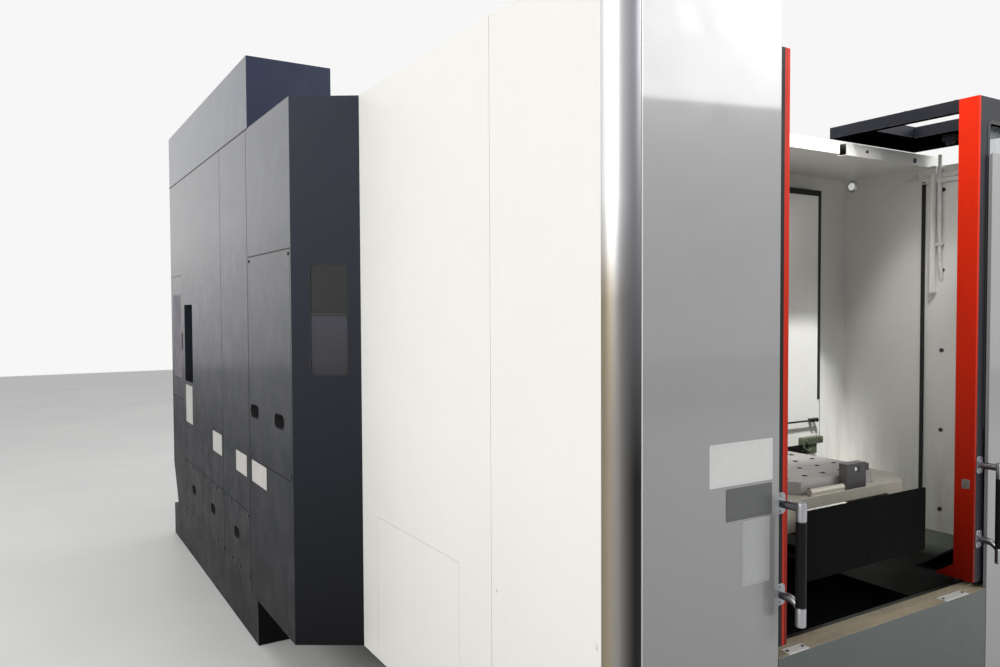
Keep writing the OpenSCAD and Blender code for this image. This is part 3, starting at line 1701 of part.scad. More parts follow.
base_casting();
guide_rails();
levelling_feet();
rear_cover();
chip_conveyor();
left_side_front_panel();
left_side_rear_panel();
side_hatch();
left_corner_post();
left_front_panel();
left_top_cover();
right_front_panel();
right_corner_post();
right_side_panel();
sill_panel();
canopy();
inner_walls();
partition_frame();
wall_seals();
chip_floor();
cable_conduit();
door_track();
panel_screws();
left_door_frame();
left_door_edge();
left_door_window();
left_door_handle();
right_door_frame();
right_door_edge();
right_door_window();
right_door_handle();
changer_column();
lift_ram();
fork_arm();
partition();
partition_seal();
front_pallet();
rear_pallet();
clamp_blocks();
apron();
table_saddle();
rotary_table();
column();
spindle_head();
spindle();
magazine_frame();
tool_wheel();
tool_change_arm();
magazine_cover();
magazine_window();
tower_cover();
access_panel();
setup_door();
operator_door();
operator_window();
operator_panel();
emergency_stop();
electrical_cabinet();
cabinet_door();
main_switch();
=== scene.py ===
import math
import random

import bmesh
import bpy
from mathutils import Matrix, Vector


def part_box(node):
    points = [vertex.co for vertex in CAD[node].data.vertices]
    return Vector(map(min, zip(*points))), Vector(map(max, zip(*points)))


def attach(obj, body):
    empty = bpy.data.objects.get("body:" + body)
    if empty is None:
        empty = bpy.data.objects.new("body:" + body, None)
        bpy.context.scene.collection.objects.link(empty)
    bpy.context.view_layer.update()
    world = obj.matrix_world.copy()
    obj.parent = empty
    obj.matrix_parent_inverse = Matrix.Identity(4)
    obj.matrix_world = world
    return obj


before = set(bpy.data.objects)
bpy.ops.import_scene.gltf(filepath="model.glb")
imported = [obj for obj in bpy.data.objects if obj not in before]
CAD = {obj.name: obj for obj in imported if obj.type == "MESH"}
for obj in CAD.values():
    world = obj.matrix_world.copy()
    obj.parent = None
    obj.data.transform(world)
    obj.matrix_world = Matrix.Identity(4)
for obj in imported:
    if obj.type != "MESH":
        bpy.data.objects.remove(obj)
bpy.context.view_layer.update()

# Y of the front panels' face. Depths count backwards from it. All lengths are in metres.
FRONT = -2.4775
# Faces that trim sits on
PARTITION_DEPTH = 0.849
REAR_DEPTH = 4.6
OPERATOR_DOOR_X = 1.177
PANEL_X = 1.298
CABINET_DOOR_X = 1.372


def P(x, depth, z):
    """A point given by its depth behind the front panels."""
    return Vector((x, depth + FRONT, z))


# === materials

M = {}  # every material by its name


class Nodes:
    """Short hand for building a node tree."""

    def __init__(self, tree):
        self.tree = tree

    def put(self, sock, v):
        """Links an output to a socket, or writes a number, a vector or a colour on it."""
        if hasattr(v, "links"):
            self.tree.links.new(v, sock)
        else:
            sock.default_value = (*v, 1) if sock.type == "RGBA" else v

    def new(self, kind, inputs=None, **props):
        n = self.tree.nodes.new(kind)
        for k, v in props.items():
            setattr(n, k, v)
        for k, v in (inputs or {}).items():
            self.put(n.inputs[k], v)
        return n

    def math(self, op, *values):
        return self.new("ShaderNodeMath", dict(enumerate(values)), operation=op).outputs[0]


class Graph(Nodes):
    """The nodes of one new material."""

    def __init__(self, name):
        self.mat = M[name] = bpy.data.materials.new(name)
        self.mat.use_nodes = True
        super().__init__(self.mat.node_tree)
        self.bsdf = self.tree.nodes["Principled BSDF"]
        self.coord = self.new("ShaderNodeTexCoord").outputs["Object"]

    def set(self, **sockets):
        for k, v in sockets.items():
            self.put(self.bsdf.inputs[k.replace("_", " ")], v)

    def noise(self, scale, detail=4, rough=0.55, stretch=(1, 1, 1)):
        m = self.new("ShaderNodeMapping", {"Vector": self.coord, "Scale": stretch})
        n = self.new("ShaderNodeTexNoise", {"Vector": m.outputs[0], "Scale": scale,
                                            "Detail": detail, "Roughness": rough})
        return n.outputs["Fac"]

    def ramp(self, fac, low, high, a=0.0, b=1.0):
        """Maps fac from low..high to a..b, clamped."""
        return self.new("ShaderNodeMapRange", {"Value": fac, "From Min": low, "From Max": high,
                                               "To Min": a, "To Max": b}).outputs[0]

    def times(self, a, b):
        return self.math("MULTIPLY", a, b)

    def split(self, vector, which):
        return self.new("ShaderNodeSeparateXYZ", {0: vector}).outputs[which]

    def axis(self, which):
        return self.split(self.coord, which)

    def looks(self, which):
        """How far the face looks along an axis, -1 to 1."""
        return self.split(self.new("ShaderNodeNewGeometry").outputs["Normal"], which)

    def mix(self, mask, a, b, weight=None):
        """Goes from a to b where the mask is 1, or only by a weight there."""
        if weight is not None:
            mask = self.times(mask, weight)
        # Sockets 6 and 7 are the node's two colours, output 2 is its colour.
        return self.new("ShaderNodeMix", {"Factor": mask, 6: a, 7: b}, data_type="RGBA").outputs[2]

    def scale(self, col, by):
        return self.new("ShaderNodeVectorMath", {0: col, "Scale": by}, operation="SCALE").outputs[0]

    def bump(self, height, strength, distance):
        return self.new("ShaderNodeBump", {"Height": height, "Strength": strength,
                                           "Distance": distance}).outputs[0]

    def edges(self):
        """1 along convex and concave edges, 0 on flat faces."""
        rounded = self.new("ShaderNodeBevel", {"Radius": 0.004}, samples=4).outputs[0]
        flat = self.new("ShaderNodeNewGeometry").outputs["Normal"]
        same = self.new("ShaderNodeVectorMath", {0: rounded, 1: flat}, operation="DOT_PRODUCT")
        return self.ramp(same.outputs["Value"], 0.995, 0.85)


def paint(name, color, rough, vary, tint=(0.9, 0.85, 0.75), streak=0.0, coat=0.0,
          orange_peel=0.08, wear=None, grime=0.0, grime_color=(0.12, 0.1, 0.08), spec=0.5,
          fine_part=0.25, painted_shade_low=None, coat_rise=None, coat_rough=0.08, zones=(), matt=None):
    """Painted sheet: cloudy tone, streaks, fine orange peel, optional worn edges and grime.

    fall is (z0, z1, share): painted shade, the tone drops to that share towards the floor.
    coat_rise is (z0, z1, weight): on faces that look along X the gloss drops to that weight
    towards the floor, and the other faces stay matt.
    zones are (function of the graph, color): another colour where the function gives 1.
    matt is a function of the graph: no highlight where it gives 1.
    """
    g = Graph(name)
    darker = tuple(c * (1 - vary) for c in color)
    toned = tuple(c * t for c, t in zip(darker, tint))
    cloud = g.ramp(g.noise(1.7, 5), 0.3, 0.7)
    fine = g.ramp(g.noise(23, 6, 0.7), 0.45, 0.8)
    col = g.mix(fine, g.mix(cloud, color, darker, 0.55), toned, fine_part)
    if streak:
        runs = g.ramp(g.noise(6, 5, 0.6, (4, 4, 0.25)), 0.5, 0.78)
        col = g.mix(runs, col, toned, streak)
    if grime:
        dirt = g.ramp(g.noise(4.5, 7, 0.72), 0.46, 0.74)
        col = g.mix(dirt, col, grime_color, grime)
    if wear:
        scuff = g.times(g.edges(), g.ramp(g.noise(38, 5, 0.7), 0.42, 0.62))
        col = g.mix(scuff, col, wear, 0.6)
    for mask, other in zones:
        col = g.mix(mask(g), col, other)
    # Painted shade: the colour darkens towards the floor.
    if painted_shade_low:
        col = g.scale(col, g.ramp(g.axis("Z"), *painted_shade_low, 1.0))
    g.set(Base_Color=col, Roughness=g.ramp(g.noise(9, 4), 0.3, 0.7, rough - 0.05, rough + 0.07),
          Normal=g.bump(g.noise(420, 2, 0.5), orange_peel, 0.0006), Specular_IOR_Level=spec)
    if matt:
        g.set(Specular_IOR_Level=g.times(g.math("SUBTRACT", 1.0, matt(g)), spec))
    if coat:
        g.set(Coat_Weight=coat, Coat_Roughness=coat_rough)
    if coat_rise:
        side = g.math("ABSOLUTE", g.looks("X"))
        rise = g.ramp(g.axis("Z"), *coat_rise, coat)
        g.set(Coat_Weight=g.times(rise, g.ramp(side, 0.7, 0.95)))


def metal(name, color, rough, brushed, bump=0.06, stain=0.0, metallic=1.0):
    """Bare metal with a directional grain and faint stains."""
    g = Graph(name)
    grain = g.noise(60, 5, 0.65, brushed)
    col = g.mix(g.ramp(grain, 0.3, 0.75), tuple(c * 0.78 for c in color), color)
    if stain:
        col = g.mix(g.ramp(g.noise(7, 7, 0.7), 0.5, 0.72), col, (0.16, 0.11, 0.06), stain)
    cloud = g.ramp(g.noise(5, 5), 0.3, 0.7, rough - 0.06, rough + 0.08)
    g.set(Base_Color=col, Metallic=metallic, Normal=g.bump(grain, bump, 0.0008),
          Roughness=g.math("ADD", cloud, g.ramp(grain, 0.3, 0.7, -0.04, 0.05)))


def plastic(name, color, rough, grain=900, bump=0.15):
    g = Graph(name)
    col = g.mix(g.ramp(g.noise(14, 4), 0.35, 0.7), color, tuple(c * 1.35 + 0.004 for c in color))
    g.set(Base_Color=col, Roughness=g.ramp(g.noise(30, 3), 0.3, 0.7, rough - 0.05, rough + 0.08),
          Normal=g.bump(g.noise(grain, 2), bump, 0.0005))


def clear_pane():
    """Window pane with a thin film of dried coolant."""
    g = Graph("clear_pane")
    film = g.ramp(g.noise(3.5, 6, 0.65, (1, 1, 0.4)), 0.4, 0.75)
    g.set(Base_Color=g.mix(film, (0.3, 0.35, 0.38), (0.75, 0.75, 0.72), 0.3),
          Roughness=g.ramp(film, 0, 1, 0.05, 0.17), Alpha=g.ramp(film, 0, 1, 0.3, 0.48))
    g.mat.blend_method = "BLEND"


def lamp_lens():
    """Frosted lens with a faint glow."""
    g = Graph("lamp_lens")
    col = g.mix(g.ramp(g.noise(90, 3), 0.3, 0.7), (0.85, 0.85, 0.84), (0.78, 0.78, 0.78))
    g.set(Base_Color=col, Roughness=0.3, Normal=g.bump(g.noise(500, 2), 0.1, 0.0004),
          Emission_Color=col, Emission_Strength=0.5)


def corner_strip():
    """Metal corner strip with painted reflections: bright in the middle, tan low on the side, black
    towards the front.
    """
    g = Graph("corner_strip")
    # Painted reflections: the colour follows height and the way each face looks, light high up, tan
    # low on the side, near black low on faces towards the front.
    frontal = g.times(g.looks("Y"), -1.0)
    height = g.axis("Z")
    low_tan_reflection = g.ramp(g.math("ADD", height, g.times(g.noise(2.2, 3), 0.4)), 2.2, 1.9)
    side = g.mix(low_tan_reflection, (0.66, 0.66, 0.67), (0.26, 0.225, 0.165))
    middle = g.mix(low_tan_reflection, (0.62, 0.62, 0.64), (0.24, 0.23, 0.22))
    dark = g.mix(g.ramp(height, 1.25, 2.35), (0.022, 0.022, 0.022), (0.26, 0.26, 0.28))
    col = g.mix(g.ramp(frontal, 0.35, 0.6), side, middle)
    grain = g.noise(60, 4, 0.6, (6, 6, 0.3))
    g.set(Base_Color=g.mix(g.ramp(frontal, 0.66, 0.97), col, dark), Metallic=1.0,
          Roughness=g.ramp(grain, 0.3, 0.7, 0.32, 0.44), Normal=g.bump(grain, 0.02, 0.0006))


def beyond(axis, low, high):
    """A mask for paint(): 0 below low and 1 above high along an axis."""
    return lambda g: g.ramp(g.axis(axis), low, high)


def facing(axis, low, high):
    """A mask for paint(): 1 on faces that look along an axis, or against it if low > high."""
    return lambda g: g.ramp(g.looks(axis), low, high)


def both(a, b):
    return lambda g: g.times(a(g), b(g))


def dust(g):
    """A mask for paint(): uneven dust."""
    return g.ramp(g.noise(5, 6, 0.7), 0.3, 0.62, 0.55, 1.0)


def wall_stain(g):
    """A mask for paint(): old coolant runs in the station's far corner and along its foot."""
    uneven = g.times(g.noise(3.0, 5, 0.6), 0.7)
    low = g.ramp(g.math("ADD", g.axis("Z"), uneven), 1.75, 1.15)
    corner = g.ramp(g.axis("X"), 0.72, 0.95)
    runs = g.ramp(g.noise(5, 6, 0.7, (4, 4, 0.5)), 0.4, 0.66)
    return g.times(g.times(low, corner), g.times(runs, 0.3))


UPPER_SIDE = facing("Z", 0.7, 0.9)
UNDERSIDE = facing("Z", -0.6, -0.9)
STATION_FLOOR = both(UPPER_SIDE, beyond("Y", FRONT + 0.83, FRONT + 0.81))
FRAME_SKIN = beyond("Y", FRONT + 0.0185, FRONT + 0.0183)  # the door frame's face towards us
# X of the fold at the left front panel's left edge, where a painted highlight runs
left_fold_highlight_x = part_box("left_front_panel")[0].x + 0.003

# Where fall is given below, it is painted shade that darkens the sheet towards the floor.
paint("white_sheet", (0.8, 0.795, 0.765), 0.38, 0.03, streak=0.08, fine_part=0.12,
      painted_shade_low=(0.25, 1.25, 0.86))
paint("inner_white", (0.86, 0.86, 0.825), 0.34, 0.04, (0.95, 0.9, 0.78),
      grime=0.07, grime_color=(0.5, 0.42, 0.26), streak=0.1, fine_part=0.15,
      zones=((wall_stain, (0.42, 0.33, 0.16)),))
paint("grey_sheet", (0.4, 0.41, 0.42), 0.32, 0.04, (0.94, 0.94, 0.94), streak=0.08, coat=0.5,
      fine_part=0.1, painted_shade_low=(0.3, 1.5, 0.75))
paint("front_grey", (0.275, 0.278, 0.284), 0.34, 0.03, (0.95, 0.95, 0.95),
      streak=0.06, coat=0.8, coat_rough=0.05, fine_part=0.06, orange_peel=0.03,
      painted_shade_low=(0.4, 1.65, 0.55),
      # Painted highlight: a light strip along the fold at the panel's left edge.
      zones=((beyond("X", left_fold_highlight_x, left_fold_highlight_x - 0.0005), (0.8, 0.8, 0.8)),))
# The sill is the same grey paint as the front panels: its dark tone is painted shade and the
# painted reflection of the dark floor. Its top is dusty, and black beyond the door track, where
# painted shade falls.
paint("sill_paint", (0.07, 0.083, 0.081), 0.36, 0.1, (0.85, 0.88, 0.8), streak=0.2,
      spec=0.3, grime=0.2, grime_color=(0.045, 0.047, 0.04), wear=(0.14, 0.13, 0.11),
      painted_shade_low=(0.1, 0.66, 0.55), zones=((both(UPPER_SIDE, dust), (0.34, 0.285, 0.2)),
             (both(UPPER_SIDE, beyond("Y", FRONT + 0.062, FRONT + 0.066)), (0.01, 0.01, 0.01))))
GLOSSY_DARK = dict(rough=0.46, vary=0.02, tint=(0.98, 0.98, 1.0), orange_peel=0.02, fine_part=0.03,
                   coat=1.0, coat_rough=0.15)
paint("charcoal_sheet", (0.03, 0.034, 0.047), spec=0.12, coat_rise=(0.95, 2.15, 0.0),
      painted_shade_low=(0.2, 2.3, 0.1), **GLOSSY_DARK)
paint("tower_paint", (0.014, 0.022, 0.052), spec=0.25, coat_rise=(0.75, 2.1, 0.04), **GLOSSY_DARK)
# Painted shade: the door frames' undersides are near black.
UNDERSIDE_PAINTED_SHADE = (UNDERSIDE, (0.002, 0.002, 0.002))
DOOR_FRAME = dict(color=(0.016, 0.018, 0.026), rough=0.44, vary=0.2, tint=(1, 1, 1),
                  orange_peel=0.15, wear=(0.2, 0.21, 0.23), grime=0.1, spec=0.18,
                  matt=UNDERSIDE, painted_shade_low=(0.5, 2.3, 0.5))
paint("door_frame_paint", zones=(UNDERSIDE_PAINTED_SHADE,), **DOOR_FRAME)
paint("left_frame_paint", **DOOR_FRAME, zones=(
    UNDERSIDE_PAINTED_SHADE,
    # Painted shadow: a near-black strip on the frame's face beside the leaf's leading edge; right
    # of it the edge's own orange paint.
    (both(beyond("X", -0.5402, -0.54), FRAME_SKIN), (0.002, 0.002, 0.002)),
    (both(beyond("X", -0.516, -0.5158), FRAME_SKIN), (0.66, 0.02, 0.002))))
paint("orange_paint", (0.86, 0.028, 0.003), 0.4, 0.1, (0.85, 0.7, 0.6), streak=0.2, spec=0.12,
      wear=(0.26, 0.035, 0.02), grime=0.12, grime_color=(0.25, 0.02, 0.01), painted_shade_low=(0.7, 2.2, 0.16))
paint("black_paint", (0.003, 0.0034, 0.0033), 0.55, 0.25, (1, 1, 1), orange_peel=0.1, grime=0.2,
      grime_color=(0.007, 0.007, 0.006), spec=0.02)
# The chip floor's own colour is the greenish grey kept near the right wall; the near black
# everywhere else is painted shade under the apron and pallet.
paint("chip_floor_paint", (0.0085, 0.009, 0.0085), 0.5, 0.25, (0.7, 0.75, 0.6),
      grime=0.5, grime_color=(0.004, 0.004, 0.004), spec=0.06,
      zones=((both(beyond("X", 0.8, 0.92), facing("Z", 0.5, 0.7)), (0.16, 0.185, 0.145)),))
paint("beige_arm_paint", (0.42, 0.405, 0.34), 0.36, 0.2, (0.8, 0.7, 0.5), grime=0.45,
      grime_color=(0.1, 0.08, 0.05), wear=(0.1, 0.09, 0.08))
# Upward faces of the castings on the station's floor are near black and without highlight: painted
# shade, as on the chip floor.
paint("cast_iron_paint", (0.1, 0.11, 0.12), 0.5, 0.2, (0.9, 0.9, 0.85),
      orange_peel=0.5, grime=0.3, wear=(0.05, 0.05, 0.05), matt=STATION_FLOOR,
      zones=((STATION_FLOOR, (0.006, 0.006, 0.006)),))
metal("ground_steel", (0.5, 0.5, 0.5), 0.28, (1, 1, 30), stain=0.35)
metal("black_steel", (0.05, 0.05, 0.055), 0.36, (8, 8, 8), stain=0.2)
paint("dusty_track", (0.3, 0.26, 0.19), 0.5, 0.3, (0.8, 0.75, 0.6), spec=0.2, grime=0.35,
      grime_color=(0.06, 0.05, 0.035), wear=(0.1, 0.1, 0.1))
paint("panel_screw", (0.022, 0.022, 0.024), 0.35, 0.1, wear=(0.08, 0.08, 0.08),
      zones=((both(beyond("X", -1.2, -1.19), beyond("X", -1.1, -1.11)), (0.74, 0.735, 0.7)),))
paint("clamp_steel", (0.17, 0.165, 0.16), 0.36, 0.25, (0.8, 0.8, 0.75), grime=0.4,
      grime_color=(0.05, 0.045, 0.04), wear=(0.36, 0.35, 0.33),
      # Painted shade: the blocks' faces towards the front, right of the middle, are darker.
      zones=((both(facing("Y", -0.6, -0.9), beyond("X", 0.001, 0.002)), (0.028, 0.025, 0.028)),
             (beyond("X", -0.005, -0.008), (0.5, 0.48, 0.4))))
metal("pallet_steel", (0.4, 0.385, 0.375), 0.42, (30, 1, 1), stain=0.4, metallic=0.35)
metal("satin_silver", (0.7, 0.71, 0.73), 0.26, (1, 1, 14), 0.03)
metal("handle_ferrule", (0.4, 0.41, 0.43), 0.36, (1, 1, 14), 0.01)
metal("handle_arm", (0.3, 0.31, 0.33), 0.3, (1, 14, 1), 0.03)
plastic("black_rubber", (0.008, 0.008, 0.008), 0.6, 300, 0.3)
plastic("black_plastic", (0.012, 0.013, 0.014), 0.42)
paint("grip_sleeve", (0.0045, 0.0045, 0.005), 0.5, 0.1, spec=0.12)
plastic("grey_plastic", (0.2, 0.21, 0.22), 0.45)
plastic("white_plastic", (0.74, 0.74, 0.72), 0.4)
plastic("red_plastic", (0.62, 0.02, 0.015), 0.3, 900, 0.05)
plastic("yellow_plastic", (0.75, 0.45, 0.02), 0.35, 900, 0.05)
plastic("green_plastic", (0.02, 0.32, 0.09), 0.35, 900, 0.05)
clear_pane()
paint("magazine_pane", (0.022, 0.021, 0.022), 0.2, 0.1, (1, 1, 1), spec=0.35,
      fine_part=0.05, orange_peel=0.01,
      zones=((both(beyond("Z", 1.655, 1.65), beyond("Z", 1.3, 1.62)), (0.045, 0.045, 0.058)),))
plastic("screen_glass", (0.012, 0.016, 0.022), 0.12, 200, 0.0)
paint("plate_white", (0.6, 0.605, 0.6), 0.35, 0.06, streak=0.05, grime=0.12, painted_shade_low=(0.6, 1.5, 0.85))
paint("plate_dark", (0.085, 0.088, 0.092), 0.34, 0.15, streak=0.15)
paint("plate_pale", (0.34, 0.345, 0.355), 0.35, 0.08, streak=0.1, grime=0.12)
paint("sticker", (0.5, 0.49, 0.47), 0.4, 0.08, (1.0, 0.85, 0.8), grime=0.15)
paint("setup_door_pane", (0.105, 0.085, 0.12), 0.4, 0.15, (1.0, 0.9, 1.0), spec=0.2)
paint("clamp_green", (0.1, 0.12, 0.07), 0.5, 0.3, grime=0.6, grime_color=(0.03, 0.03, 0.02))

lamp_lens()
corner_strip()

by_material = {
    "cast_iron_paint": "base_casting levelling_feet changer_column table_saddle column "
                       "spindle_head",
    "ground_steel": "guide_rails lift_ram rotary_table spindle tool_wheel tool_change_arm",
    "dusty_track": "door_track",
    "panel_screw": "panel_screws",
    "clamp_steel": "clamp_blocks",
    "pallet_steel": "front_pallet rear_pallet",
    "charcoal_sheet": "magazine_cover access_panel setup_door magazine_frame rear_cover",
    "tower_paint": "tower_cover",
    "door_frame_paint": "right_door_frame",
    "left_frame_paint": "left_door_frame",
    "grey_sheet": "chip_conveyor electrical_cabinet cabinet_door operator_panel",
    "front_grey": "left_front_panel right_front_panel",
    "sill_paint": "sill_panel",
    "white_sheet": "left_side_front_panel left_side_rear_panel side_hatch left_top_cover "
                   "right_side_panel operator_door",
    "inner_white": "canopy inner_walls partition_frame cable_conduit partition",
    "corner_strip": "left_corner_post right_corner_post",
    "handle_arm": "left_door_handle right_door_handle",
    "black_rubber": "wall_seals partition_seal",
    "chip_floor_paint": "chip_floor",
    "orange_paint": "left_door_edge right_door_edge",
    "clear_pane": "left_door_window right_door_window operator_window",
    "magazine_pane": "magazine_window",
    "beige_arm_paint": "fork_arm",
    "black_paint": "apron",
    "red_plastic": "emergency_stop",
    "black_plastic": "main_switch",
}
for material, names in by_material.items():
    for n in names.split():
        CAD[n].data.materials.clear()
        CAD[n].data.materials.append(M[material])


# Small rounded edges on carried-over sheets and castings, so that they catch the light
for n in ("left_door_frame right_door_frame left_door_edge right_door_edge fork_arm front_pallet "
          "rear_pallet operator_panel sill_panel").split():
    weld = CAD[n].modifiers.new("weld", "WELD")
    weld.merge_threshold = 0.00005
    bevel = CAD[n].modifiers.new("soft_edge", "BEVEL")
    bevel.width = 0.0012
    bevel.segments = 2
    bevel.limit_method = "ANGLE"
    bevel.angle_limit = math.radians(50)
    bevel.use_clamp_overlap = True

# === shapes

# Ways that a face can look, AHEAD is towards the camera's side
LEFT, RIGHT, AHEAD, BACK, UP = (-1, 0, 0), (1, 0, 0), (0, -1, 0), (0, 1, 0), (0, 0, 1)


def face(origin, normal):
    """A frame on a face: X along it, Y up it, Z out of it; on a level face, plain X and Y."""
    if normal == UP:
        return Matrix.Translation(origin)
    z = Vector(normal).normalized()
    x = Vector(UP).cross(z).normalized()
    return Matrix.Translation(origin) @ Matrix((x, z.cross(x), z)).transposed().to_4x4()


def add(name, data):
    """A new object of the scene."""
    o = bpy.data.objects.new(name, data)
    bpy.context.scene.collection.objects.link(o)
    return o


def make(name, bm, material, body):
    """Turns a bmesh into a piece that rides on a body."""
    bmesh.ops.recalc_face_normals(bm, faces=bm.faces)
    me = bpy.data.meshes.new(name)
    bm.to_mesh(me)
    bm.free()
    me.shade_smooth()
    me.set_sharp_from_angle(angle=math.radians(35))
    me.materials.append(M[material])
    o = add(name, me)
    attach(o, body)


def circle(r, steps):
    """Points of a circle, anticlockwise, centred."""
    return [(r * math.cos(math.tau * k / steps), r * math.sin(math.tau * k / steps))
            for k in range(steps)]


def outline(w, h, r, steps):
    """Points of a rounded rectangle, anticlockwise, centred."""
    r = min(r, w / 2 - 1e-5, h / 2 - 1e-5)
    pts = []
    for k, (right, up) in enumerate(((1, -1), (1, 1), (-1, 1), (-1, -1))):
        for s in range(steps + 1):
            a = math.radians(-90 + 90 * k + 90 * s / steps)
            pts.append((right * (w / 2 - r) + r * math.cos(a), up * (h / 2 - r) + r * math.sin(a)))
    return pts


def ring(bm, m, pts, z):
    return [bm.verts.new(m @ Vector((x, y, z))) for x, y in pts]


def bridge(bm, a, b):
    n = len(a)
    for i in range(n):
        bm.faces.new((a[i], a[(i + 1) % n], b[(i + 1) % n], b[i]))


def slab(bm, m, w, h, t, r, chamfer, z=0.0, steps=5):
    """A rounded plate from z to z + t, its outer edge chamfered."""
    low = ring(bm, m, outline(w, h, r, steps), z)
    mid = ring(bm, m, outline(w, h, r, steps), z + t - chamfer)
    inner = outline(w - 2 * chamfer, h - 2 * chamfer, max(r - chamfer, 1e-4), steps)
    top = ring(bm, m, inner, z + t)
    bm.faces.new(low[::-1])
    bridge(bm, low, mid)
    bridge(bm, mid, top)
    bm.faces.new(top)


def frame_ring(bm, m, w, h, r, rim, t, z=0.0, steps=6):
    """A rounded frame round an opening of w by h, rim wide and t thick, with a soft outer edge."""
    c = min(rim, t) * 0.35
    rings = [ring(bm, m, outline(w + 2 * out, h + 2 * out, r + out, steps), at)
             for out, at in ((0, z), (0, z + t), (rim - c, z + t), (rim, z + t - c), (rim, z))]
    for a, b in zip(rings, rings[1:] + rings[:1]):
        bridge(bm, a, b)


def lathe(bm, m, profile, steps=24):
    """Revolves (radius, z) points about the frame's Z."""
    rings = [ring(bm, m, circle(r, steps) if r else [(0, 0)], z) for r, z in profile]
    for a, b in zip(rings, rings[1:]):
        if len(a) == len(b):
            bridge(bm, a, b)
            continue
        (tip,), rim = sorted((a, b), key=len)
        for i in range(steps):
            bm.faces.new((tip, rim[i], rim[(i + 1) % steps]))
    for end in (rings[0], rings[-1]):
        if len(end) > 1:
            bm.faces.new(end)


def socket_screw(bm, m, r, h):
    """Cap screw: chamfered head with a six-sided socket."""
    lathe(bm, m, [(r, 0), (r, h * 0.75), (r * 0.9, h), (r * 0.58, h)], 20)
    low = ring(bm, m, circle(r * 0.5, 6), h * 0.35)
    top = ring(bm, m, circle(r * 0.5, 6), h + 0.0001)
    bridge(bm, low, top)
    bridge(bm, top, ring(bm, m, circle(r * 0.6, 6), h + 0.0001))
    bm.faces.new(low)


def screws(bm, places, normal, r, h):
    for at in places:
        socket_screw(bm, face(at, normal), r, h)


def rounded_path(points, bend):
    """A polyline with its corners rounded."""
    steps = 6
    pts = [Vector(p) for p in points]
    out = [pts[0]]
    for a, b, c in zip(pts, pts[1:], pts[2:]):
        d = min(bend, (a - b).length * 0.49, (c - b).length * 0.49)
        p, q = b + (a - b).normalized() * d, b + (c - b).normalized() * d
        for s in range(steps + 1):
            t = s / steps
            out.append(p * (1 - t) ** 2 + b * 2 * t * (1 - t) + q * t * t)
    return out + [pts[-1]]


def pipe(bm, points, r, bend):
    """A round pipe along a path with rounded corners, closed at both ends."""
    path = rounded_path(points, bend)
    side = None
    rings = []
    for i, p in enumerate(path):
        ahead = path[min(i + 1, len(path) - 1)] - path[max(i - 1, 0)]
        ahead.normalize()
        if side is None:
            side = ahead.orthogonal().normalized()
        side = (side - ahead * side.dot(ahead)).normalized()
        other = ahead.cross(side)
        rings.append([bm.verts.new(p + side * u + other * v) for u, v in circle(r, 14)])
    for a, b in zip(rings, rings[1:]):
        bridge(bm, a, b)
    bm.faces.new(rings[0])
    bm.faces.new(rings[-1])


def block(bm, low, high, r, chamfer):
    """An upright block between two corners, rounded in plan."""
    lo, hi = Vector(low), Vector(high)
    m = Matrix.Translation(((lo.x + hi.x) / 2, (lo.y + hi.y) / 2, lo.z))
    slab(bm, m, hi.x - lo.x, hi.y - lo.y, hi.z - lo.z, r, chamfer)


# === left front panel


def blank_plates():
    """Three bare plates on the left front panel."""
    for name, material, x0, x1, z0, z1 in (
            ("plate_upper", "plate_white", -0.828, -0.58, 1.195, 1.313),
            ("plate_middle", "plate_dark", -0.765, -0.582, 1.097, 1.187),
            ("plate_lower", "plate_pale", -0.702, -0.59, 0.908, 1.091)):
        bm = bmesh.new()
        m = face(P((x0 + x1) / 2, 0, (z0 + z1) / 2), AHEAD)
        w, h = x1 - x0, z1 - z0
        slab(bm, m, w, h, 0.001, 0.004, 0.0004)
        frame_ring(bm, m, w - 0.016, h - 0.016, 0.002, 0.003, 0.0015)
        make(name, bm, material, "machine")


blank_plates()

# === dark magazine side

outer_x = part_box("magazine_cover")[0].x
# The slanted corner at the front end of the dark side, seen from above
SLANT_DEPTH = 1.871
slant_low = Vector((outer_x, SLANT_DEPTH + FRONT, 0))
slant_high = Vector((-1.137, 1.71 + FRONT, 0))
slant_dir = (slant_high - slant_low).normalized()
slant_out = Vector((slant_dir.y, -slant_dir.x, 0))


def stickers():
    """Bare stickers on the dark side."""
    for k, (v0, v1, z0, z1) in enumerate(((3.26, 3.5, 0.834, 0.955), (2.68, 2.91, 0.815, 0.925),
                                          (2.3, 2.57, 0.816, 0.925), (4.13, 4.36, 0.908, 1.165))):
        bm = bmesh.new()
        m = face(P(outer_x, (v0 + v1) / 2, (z0 + z1) / 2), LEFT)
        slab(bm, m, v1 - v0, z1 - z0, 0.0009, 0.006, 0.0003)
        frame_ring(bm, m, v1 - v0 - 0.03, z1 - z0 - 0.03, 0.002, 0.004, 0.0013)
        make("blank_sticker_%d" % k, bm, "sticker", "machine")


def window_bezel():
    """Rubber bezel and rail of the window in the slanted corner."""
    a, b = 0.082, 0.241
    z0, z1 = 1.398, 1.874
    middle = slant_low + slant_dir * ((a + b) / 2)
    bm = bmesh.new()
    m = face(middle + Vector((0, 0, (z0 + z1) / 2)), slant_out)
    frame_ring(bm, m, b - a - 0.003, z1 - z0 - 0.003, 0.019, 0.003, 0.0016, -0.001)
    make("magazine_window_bezel", bm, "black_rubber", "machine")
    bm = bmesh.new()
    m = face(middle + Vector((0, 0, 1.66)), slant_out)
    slab(bm, m, b - a - 0.006, 0.01, 0.0012, 0.001, 0.0004, -0.001)
    make("magazine_window_rail", bm, "black_rubber", "machine")


